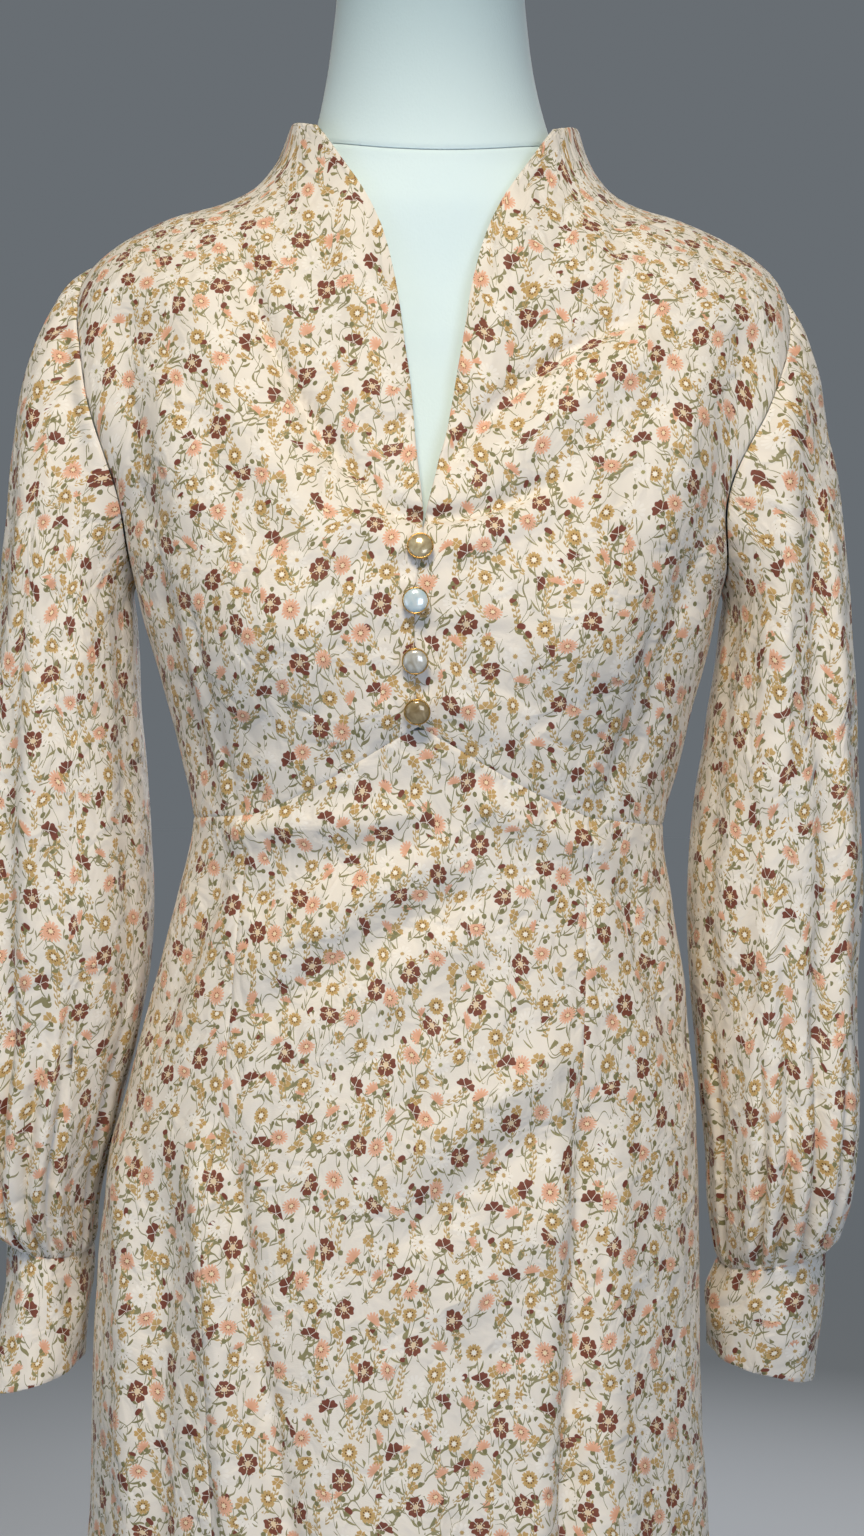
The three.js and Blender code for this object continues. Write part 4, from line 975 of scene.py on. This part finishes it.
# %% Sleeves and cuffs
around = np.arange(200) / 200
for seed, (name, side) in enumerate(SIDES):
    head = sleeve_head(side, name, around, np.concatenate([EDGE / 150, np.linspace(0.05, 1, 44)]))
    z = np.concatenate([np.arange(1201, 985, -4.0), np.arange(985, 862, -2.4), CUFF_TOP_Z + EDGE[::-1]])
    tube = sleeve_ring(side, name, z[:, None], around[None], sleeve_wave(around[None], z[:, None]))
    grid = np.concatenate([head, tube])
    crown = np.exp(-reach(grid, 0) / 16) * smooth((0.22 - np.abs(around - 0.5)) / 0.1)
    n, turn = facing(grid, (side * 205, 0), True)
    drag = folds(grid, ("sleeve",)) * smooth((10 - grid[..., 1]) / 30) * smooth(reach(grid, 0) / 12)
    grid = grid + n * (1.1 * crown * np.sin(math.tau * 34 * around) + crumple(grid) + drag)[..., None]
    outer, inner, turn = sewn(grid, loop=True, axis=(side * 205, 0))
    ring = np.concatenate([grid, grid[:, :1]], 1)
    up = reach(ring, 0)
    uv = flat_cut(SLEEVE_ROUND * np.linspace(0, 1, 201)[None] + 0 * up, up[-1:] - up, seed + 11)
    piece = wall(f"cloth_sleeve_{name}", outer, inner, uv, turn, True, SATEEN)
    declare(piece, f"sleeve_{name}")

    bottom = SLEEVES[name].rows[0, 0]
    z = lerp(CUFF_TOP_Z, bottom, shares(CUFF_TOP_Z - bottom, 3))
    grid = sleeve_ring(side, name, z[:, None], around[None])
    n, turn = facing(grid, (side * 205, 10), True)
    soft = 0.8 * np.sin(math.tau * 4 * around + z[:, None] / 13)
    soft = soft + 0.45 * np.sin(math.tau * 9 * around + 2 - z[:, None] / 9)
    grid_out = grid + n * soft[..., None]
    outer, inner, turn = sewn(grid_out, loop=True, thick=CUFF_THICK, axis=(side * 205, 10))
    ring = np.concatenate([grid, grid[:, :1]], 1)
    down = reach(ring, 0)
    uv = flat_cut(CUFF_ROUND * np.linspace(0, 1, 201)[None] + 0 * down, -down, seed + 14)
    piece = wall(f"cloth_cuff_{name}", outer, inner, uv, turn, True, SATEEN)
    declare(piece, f"cuff_{name}")

# %% [markdown]
# ## Dress form
# The form is foam under a white knitted jersey cover, seamed at the neck. It is a skin over closed
# rings: the torso follows the body surface a little way inside the cloth, and the neck narrows
# to a rounded top.

# %% Form tables
INSET = Table("h front side back", [
    (755, 26, 26, 26), (850, 14, 14, 14), (950, 11, 11, 10), (1000, 16, 15, 15), (1035, 22, 22, 18),
    (1093, 9, 7, 6), (1200, 9.5, 8.5, 5), (1255, 14, 8, 5), (1325, 13, 8, 5), (1345, 12.5, 5.5, 4.5),
    (1360, 12, 5.5, 4.5), (1371, 12, 5.2, 4.5), (1384, 11.5, 5, 4.5), (1397, 10.5, 5, 5),
    (1410, 9, 5, 6),
])
NECK = Table("h_key h zSide zBack shift half front back power slide", [
    (0, 1424, 1447, 1446, 0, 87, 61, 63, 2.2, 0), (1, 1443, 1459, 1467, -0.5, 74, 56, 58, 2.1, 0),
    (2, 1458, 1471, 1484, -1, 68, 53, 54, 2.05, 0), (3, 1480, 1489, 1499, -2, 62.5, 50, 51.5, 2, 0),
    (4, 1510, 1516, 1522, -3, 57, 47.5, 49.5, 2, 0), (5, 1553, 1555, 1557, -3.5, 52.5, 46, 48, 2, 0),
    (6, 1578, 1579, 1580, -3.5, 52, 45.5, 47.5, 2, 0), (7, 1588, 1589, 1590, -3.5, 48, 42, 44, 2, 0),
    (8, 1592, 1593, 1594, -3.5, 38, 33, 35, 2, 0),
])
FORM_ROUND = np.arange(144) / 144 * math.tau


# %% Form surface
def half_turns(point_at):
    """A closed ring from a function of side and angle."""
    side = np.where(FORM_ROUND <= np.pi, 1, -1)
    return point_at(side[None], np.minimum(FORM_ROUND, math.tau - FORM_ROUND)[None])


def torso_rings(h):
    """The body moved inwards along its normal, by an inset that turns from side to front or back."""
    def point_at(side, phi):
        along = signed_power(np.cos(phi), 2 / RINGS("power", h))
        end = np.where(along > 0, INSET("front", h), INSET("back", h))
        depth = lerp(INSET("side", h), end, smooth((np.abs(along) - 0.25) / 0.5))
        return body(side, phi, h) - depth[..., None] * outward(side, phi, h)
    return half_turns(point_at)


def neck_rings(k):
    """Rings of the neck table at whole and part rows."""
    ring = {name: NECK(name, k) for name in NECK.names[1:]}
    return half_turns(lambda side, phi: ring_point(side, phi, ring))


def skin(name, rings, material):
    """One closed body over a stack of rings: cells between the rings, and points that meet merged."""
    rows, cols = rings.shape[:2]
    ids = np.arange(rows * cols).reshape(rows, cols)
    quads = corners(np.hstack([ids, ids[:, :1]])).reshape(-1, 4)
    made = mesh_object(name, rings.reshape(-1, 3), quads, np.zeros((len(quads), 4, 2)),
                       np.ones(len(quads), bool), material)
    work = bmesh.new()
    work.from_mesh(made.data)
    bmesh.ops.remove_doubles(work, verts=work.verts, dist=1e-6)
    bmesh.ops.dissolve_degenerate(work, edges=work.edges, dist=1e-7)
    work.to_mesh(made.data)
    work.free()
    return made


def lidded(rings):
    """The rings with a lid at each end: four smaller copies of the end ring, about its middle."""
    def lid(ring, sizes):
        return [lerp(ring, ring.mean(0), s) for s in sizes]
    return np.stack([*lid(rings[0], (1, 0.6, 0.2, 0.02)), *rings, *lid(rings[-1], (0.02, 0.2, 0.6, 1))])


# %% Jersey
def jersey():
    """Knitted cotton jersey, brushed and matt: fine wales 1 mm apart, drawn by a stretched noise. Painted
    shade darkens the neck towards its top.
    """
    made, tree, shader = material("white knitted jersey")
    place = add(tree, "TexCoord", (), "Object")
    tone = add(tree, "TexNoise", {"Vector": place, "Scale": 14, "Detail": 3})
    paint = mix(tree, tone, colour("#DDF5FF"), colour("#E5FAFF"))
    # painted shade: above 1.45 m the neck turns grey blue, darkest at 1.56 m
    height = add(tree, "MapRange", (add(tree, "SeparateXYZ", (place,), "Z"), 1.45, 1.56, 0, 1))
    paint = mix(tree, height, paint, colour("#A9C3CE"))
    feed(tree, shader, {"Base Color": paint, "Roughness": 0.85, "Sheen Weight": 0.25})
    knit = vectors(tree, "MULTIPLY", place, (1000, 1000, 550))
    knit = add(tree, "TexNoise", {"Vector": knit, "Scale": 1, "Detail": 1})
    bump = add(tree, "Bump", {"Strength": 0.35, "Distance": 0.0004, "Height": knit})
    feed(tree, shader, {"Normal": bump})
    return made


JERSEY = jersey()
heights = np.concatenate([np.linspace(755, 1225, 95), np.linspace(1228, 1410, 60)])
torso = np.concatenate([torso_rings(h) for h in heights])
torso[0, :, 2] = 755
torso = np.concatenate([torso, *[neck_rings(k) for k in np.linspace(0, 1.985, 40)]])
blend = slice(len(heights) - 14, len(heights) + 20)  # the shoulders run into the neck
for _ in range(24):
    above, under = torso[blend.start + 1:blend.stop + 1], torso[blend.start - 1:blend.stop - 1]
    torso[blend] = (under + 2 * torso[blend] + above) / 4
neck = np.concatenate([neck_rings(k) for k in np.linspace(2.0, 8, 150)])
joint = neck[:1, :, 2]
for rings in (torso[-40:], neck):  # the cover's seam: a soft groove 0.9 mm deep
    groove = 0.9 * np.exp(-(((rings[..., 2:] - joint[..., None]) / 1.6) ** 2))
    rings -= groove * unit((rings - rings.mean(1, keepdims=True)) * (1, 1, 0))
for name, rings, node in (("form_torso_cover", torso, "form_torso"), ("form_neck_cover", neck, "form_neck")):
    piece = skin(name, lidded(rings), JERSEY)
    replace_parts(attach(piece, "root"), node)

# %% [markdown]
# ## Stand
# A tube and a round foot carry the form, both pressed steel with a baked satin coat. They are turned
# profiles: each pair is a radius and a height.


# %% Turned parts
def turned(name, profile, material, segments=128, at=None, out=None):
    """Turns a profile round Z. at and out then stand it on a point, square to the cloth there."""
    profile = np.array(profile, float)
    a = np.arange(segments) / segments * math.tau
    grid = np.stack([profile[:, :1] * np.cos(a), profile[:, :1] * np.sin(a),
                     profile[:, 1:2] + 0 * a], -1)
    if at is not None:
        lean = np.array([1.0, 0, 0]), np.cross(out, [1.0, 0, 0]), out
        grid = at + grid[..., :1] * lean[0] + grid[..., 1:2] * lean[1] + grid[..., 2:] * lean[2]
    return skin(name, grid, material)


def rounded(profile, radius=0.8):
    """Softens a profile's corners: each becomes three points on a small curve."""
    p = [np.array(q, float) for q in profile]
    made = [p[0]]
    for a, b, c in zip(p, p[1:], p[2:]):
        before = min(radius, 0.45 * np.linalg.norm(a - b)) * (a - b) / np.linalg.norm(a - b)
        after = min(radius, 0.45 * np.linalg.norm(c - b)) * (c - b) / np.linalg.norm(c - b)
        made += [b + before, b + 0.25 * (before + after), b + after]
    return np.array([*made, p[-1]])


def coated_steel():
    """Pressed steel with a baked satin coat: an even, slightly pebbled paint skin."""
    made, tree, shader = material("satin coated steel")
    place = add(tree, "TexCoord", (), "Object")
    tone = add(tree, "TexNoise", {"Vector": place, "Scale": 30, "Detail": 4})
    paint = mix(tree, tone, colour("#CFCFCC"), colour("#DCDCD9"))
    rough = add(tree, "MapRange", (tone, 0.3, 0.7, 0.28, 0.38))
    feed(tree, shader, {"Base Color": paint, "Roughness": rough, "Coat Weight": 0.3})
    peel = add(tree, "TexNoise", {"Vector": place, "Scale": 900, "Detail": 1})
    bump = add(tree, "Bump", {"Strength": 0.08, "Distance": 0.0003, "Height": peel})
    feed(tree, shader, {"Normal": bump})
    return made


STEEL = coated_steel()
STAND_R, STAND_THICK, POLE_R, FORM_BOTTOM_Z, SEAM_GAP = 190, 14, 14, 755, 0.3
foot = rounded([(0, 0), (STAND_R - 3, 0), (STAND_R, 3), (STAND_R, 7), (STAND_R - 3, 10),
                (POLE_R + 16, STAND_THICK), (0, STAND_THICK)], 2)
low, high = STAND_THICK + SEAM_GAP, FORM_BOTTOM_Z - SEAM_GAP
tube = rounded([(0, low), (22, low), (22, low + 30), (POLE_R, low + 34), (POLE_R, high - 6),
                (42, high - 3), (42, high), (0, high)], 1.5)
for name, profile, node in (("stand_foot", foot, "form_stand"), ("stand_tube", tube, "form_pole")):
    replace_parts(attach(turned(name, profile, STEEL), "root"), node)

# %% [markdown]
# ## Buttons
# Each button is a pearl dome held in a thin gilt cup, on a short shank, and each dome has a tint of its own;
# the second dome's pale blue is a painted reflection of the light. It is one turned solid with two
# materials:
# the cup's faces are brass, the dome's pearl.


# %% Button materials
def pearl(name, deep, pale):
    """Moulded pearl resin: layers of mica turn from a deep to a pale tint under a polished skin."""
    made, tree, shader = material(name)
    place = add(tree, "TexCoord", (), "Object")
    clouds = add(tree, "TexNoise", {"Vector": place, "Scale": 160, "Detail": 3, "Distortion": 1.2})
    ramp = add(tree, "MapRange", (clouds, 0.35, 0.7, 0, 1))
    paint = mix(tree, ramp, colour(deep), colour(pale))
    feed(tree, shader, {"Base Color": paint, "Roughness": 0.18, "Metallic": 0.25,
                        "Coat Weight": 0.8, "Coat Roughness": 0.06})
    return made


def gilt():
    """Thin polished brass with light handling marks."""
    made, tree, shader = material("gilt brass")
    place = add(tree, "TexCoord", (), "Object")
    marks = add(tree, "TexNoise", {"Vector": place, "Scale": 500, "Detail": 2})
    rough = add(tree, "MapRange", (marks, 0.3, 0.7, 0.2, 0.35))
    paint = mix(tree, marks, colour("#B98F4B"), colour("#D3AC66"))
    feed(tree, shader, {"Base Color": paint, "Roughness": rough, "Metallic": 1})
    return made


# %% Buttons
BUTTON_R, SHANK, BUTTON_HEIGHTS = 6.9, 3.0, (1237, 1210, 1180, 1155)
GILT = gilt()
# the second button's pale blue tint is a painted reflection of the light on it
PEARLS = [pearl("honey pearl resin", "#A5926C", "#CDC3A2"), pearl("pearl resin with painted sky reflection", "#C4E2F0", "#EDF8FC"),
          pearl("smoky pearl resin", "#B4AFA0", "#DDDFDA"), pearl("amber pearl resin", "#8E7A55", "#BBAA84")]
dome_r = BUTTON_R - 0.9
dome = [(dome_r * math.cos(a), SHANK + 2.3 + 2.0 * math.sin(a)) for a in np.linspace(0, math.pi / 2, 16)]
cup = [(0, 0.3), (1.6, 0.3), (1.6, SHANK), (5.6, SHANK + 0.3), (BUTTON_R, SHANK + 1.3),
       (BUTTON_R, SHANK + 2.3), (BUTTON_R - 0.35, SHANK + 2.75), (BUTTON_R - 0.8, SHANK + 2.5)]
cup = [tuple(q) for q in rounded(cup, 0.3)]
for i, z in enumerate(BUTTON_HEIGHTS):
    side, phi, h = np.array([1.0]), np.array([0.0]), np.array([float(z)])
    seat = cloth(side, phi, h)[0]
    out = outward(side, phi + 0.02, h)[0] * (0, 1, 1)
    piece = turned(f"pearl_button_{i + 1}", cup + dome, PEARLS[i], 64, seat, unit(out))
    piece.data.materials.append(GILT)
    centre = np.array([p.center for p in piece.data.polygons]) / MM - seat
    height = centre @ unit(out)
    ring = np.linalg.norm(centre - height[:, None] * unit(out), axis=1)
    brass = (height < SHANK + 2.25) | (ring > dome_r + 0.05)
    piece.data.polygons.foreach_set("material_index", brass.astype(np.int32))
    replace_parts(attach(piece, "root"), f"button_{i + 1}")

# %% [markdown]
# ## Studio
# A plain pale floor, a warm narrow key high in front, a broad cool fill low on the right, a faint
# window on the left, a lamp behind and a pale sky. Nothing here belongs to the object.


# %% Floor and light
def floor_paint():
    """Matt painted floor. Far off it turns white: a white floor under an even sky looks like the sky."""
    made, tree, shader = material("matt pale floor")
    place = add(tree, "TexCoord", (), "Object")
    tone = add(tree, "TexNoise", {"Vector": place, "Scale": 1.5, "Detail": 3})
    paint = mix(tree, tone, colour("#D6D8DA"), colour("#DDDFE0"))
    far = add(tree, "MapRange", (vectors(tree, "LENGTH", place), 1.5, 9, 0, 1),
              interpolation_type="SMOOTHSTEP")
    paint = mix(tree, far, paint, (1, 1, 1, 1))
    feed(tree, shader, {"Base Color": paint, "Roughness": 1, "Specular IOR Level": 0})
    return made


def floor():
    """A wide flat disc at height 0."""
    a = np.arange(96) / 96 * math.tau
    mesh = bpy.data.meshes.new("studio_floor")
    rim = np.stack([40 * np.cos(a), 40 * np.sin(a), 0 * a], -1)
    mesh.from_pydata(rim.tolist(), [], [list(range(96))])
    mesh.materials.append(floor_paint())
    made = bpy.data.objects.new("studio_floor", mesh)
    bpy.context.scene.collection.objects.link(made)


def lamp(name, at, aim, size, watts, tint, spread=180):
    """A square soft box at a point, turned to face another, with a beam as wide as its spread."""
    data = bpy.data.lights.new(name, "AREA")
    data.size, data.energy, data.color = size, watts, colour(tint)[:3]
    data.spread = math.radians(spread)
    made = bpy.data.objects.new(name, data)
    bpy.context.scene.collection.objects.link(made)
    made.location = at
    way = np.array(aim, float) - np.array(at, float)
    tip = math.atan2(math.hypot(way[0], way[1]), -way[2])
    made.rotation_euler = (tip, 0, math.atan2(way[1], way[0]) - math.pi / 2)


floor()
lamp("key", (-0.15, -1.85, 2.88), (0, 0, 1.0), 0.7, 5.5, "#FFEFD3", 60)
lamp("fill", (1.0, -2.9, 1.0), (0, 0, 0.5), 1.1, 20, "#DCE8FF")
lamp("window", (-1.5, -1.3, 0.8), (0, 0, 0.9), 1.0, 3, "#CFE2FF")
lamp("back", (0.6, 2.6, 1.9), (0, 0, 1.0), 1.6, 22, "#F6F8FF")
world = bpy.data.worlds.new("pale sky")
bpy.context.scene.world = world
world.use_nodes = True
world.node_tree.nodes["Background"].inputs["Color"].default_value = colour("#D9E4EE")
world.node_tree.nodes["Background"].inputs["Strength"].default_value = 0.2
bpy.context.scene.view_settings.view_transform = "Standard"
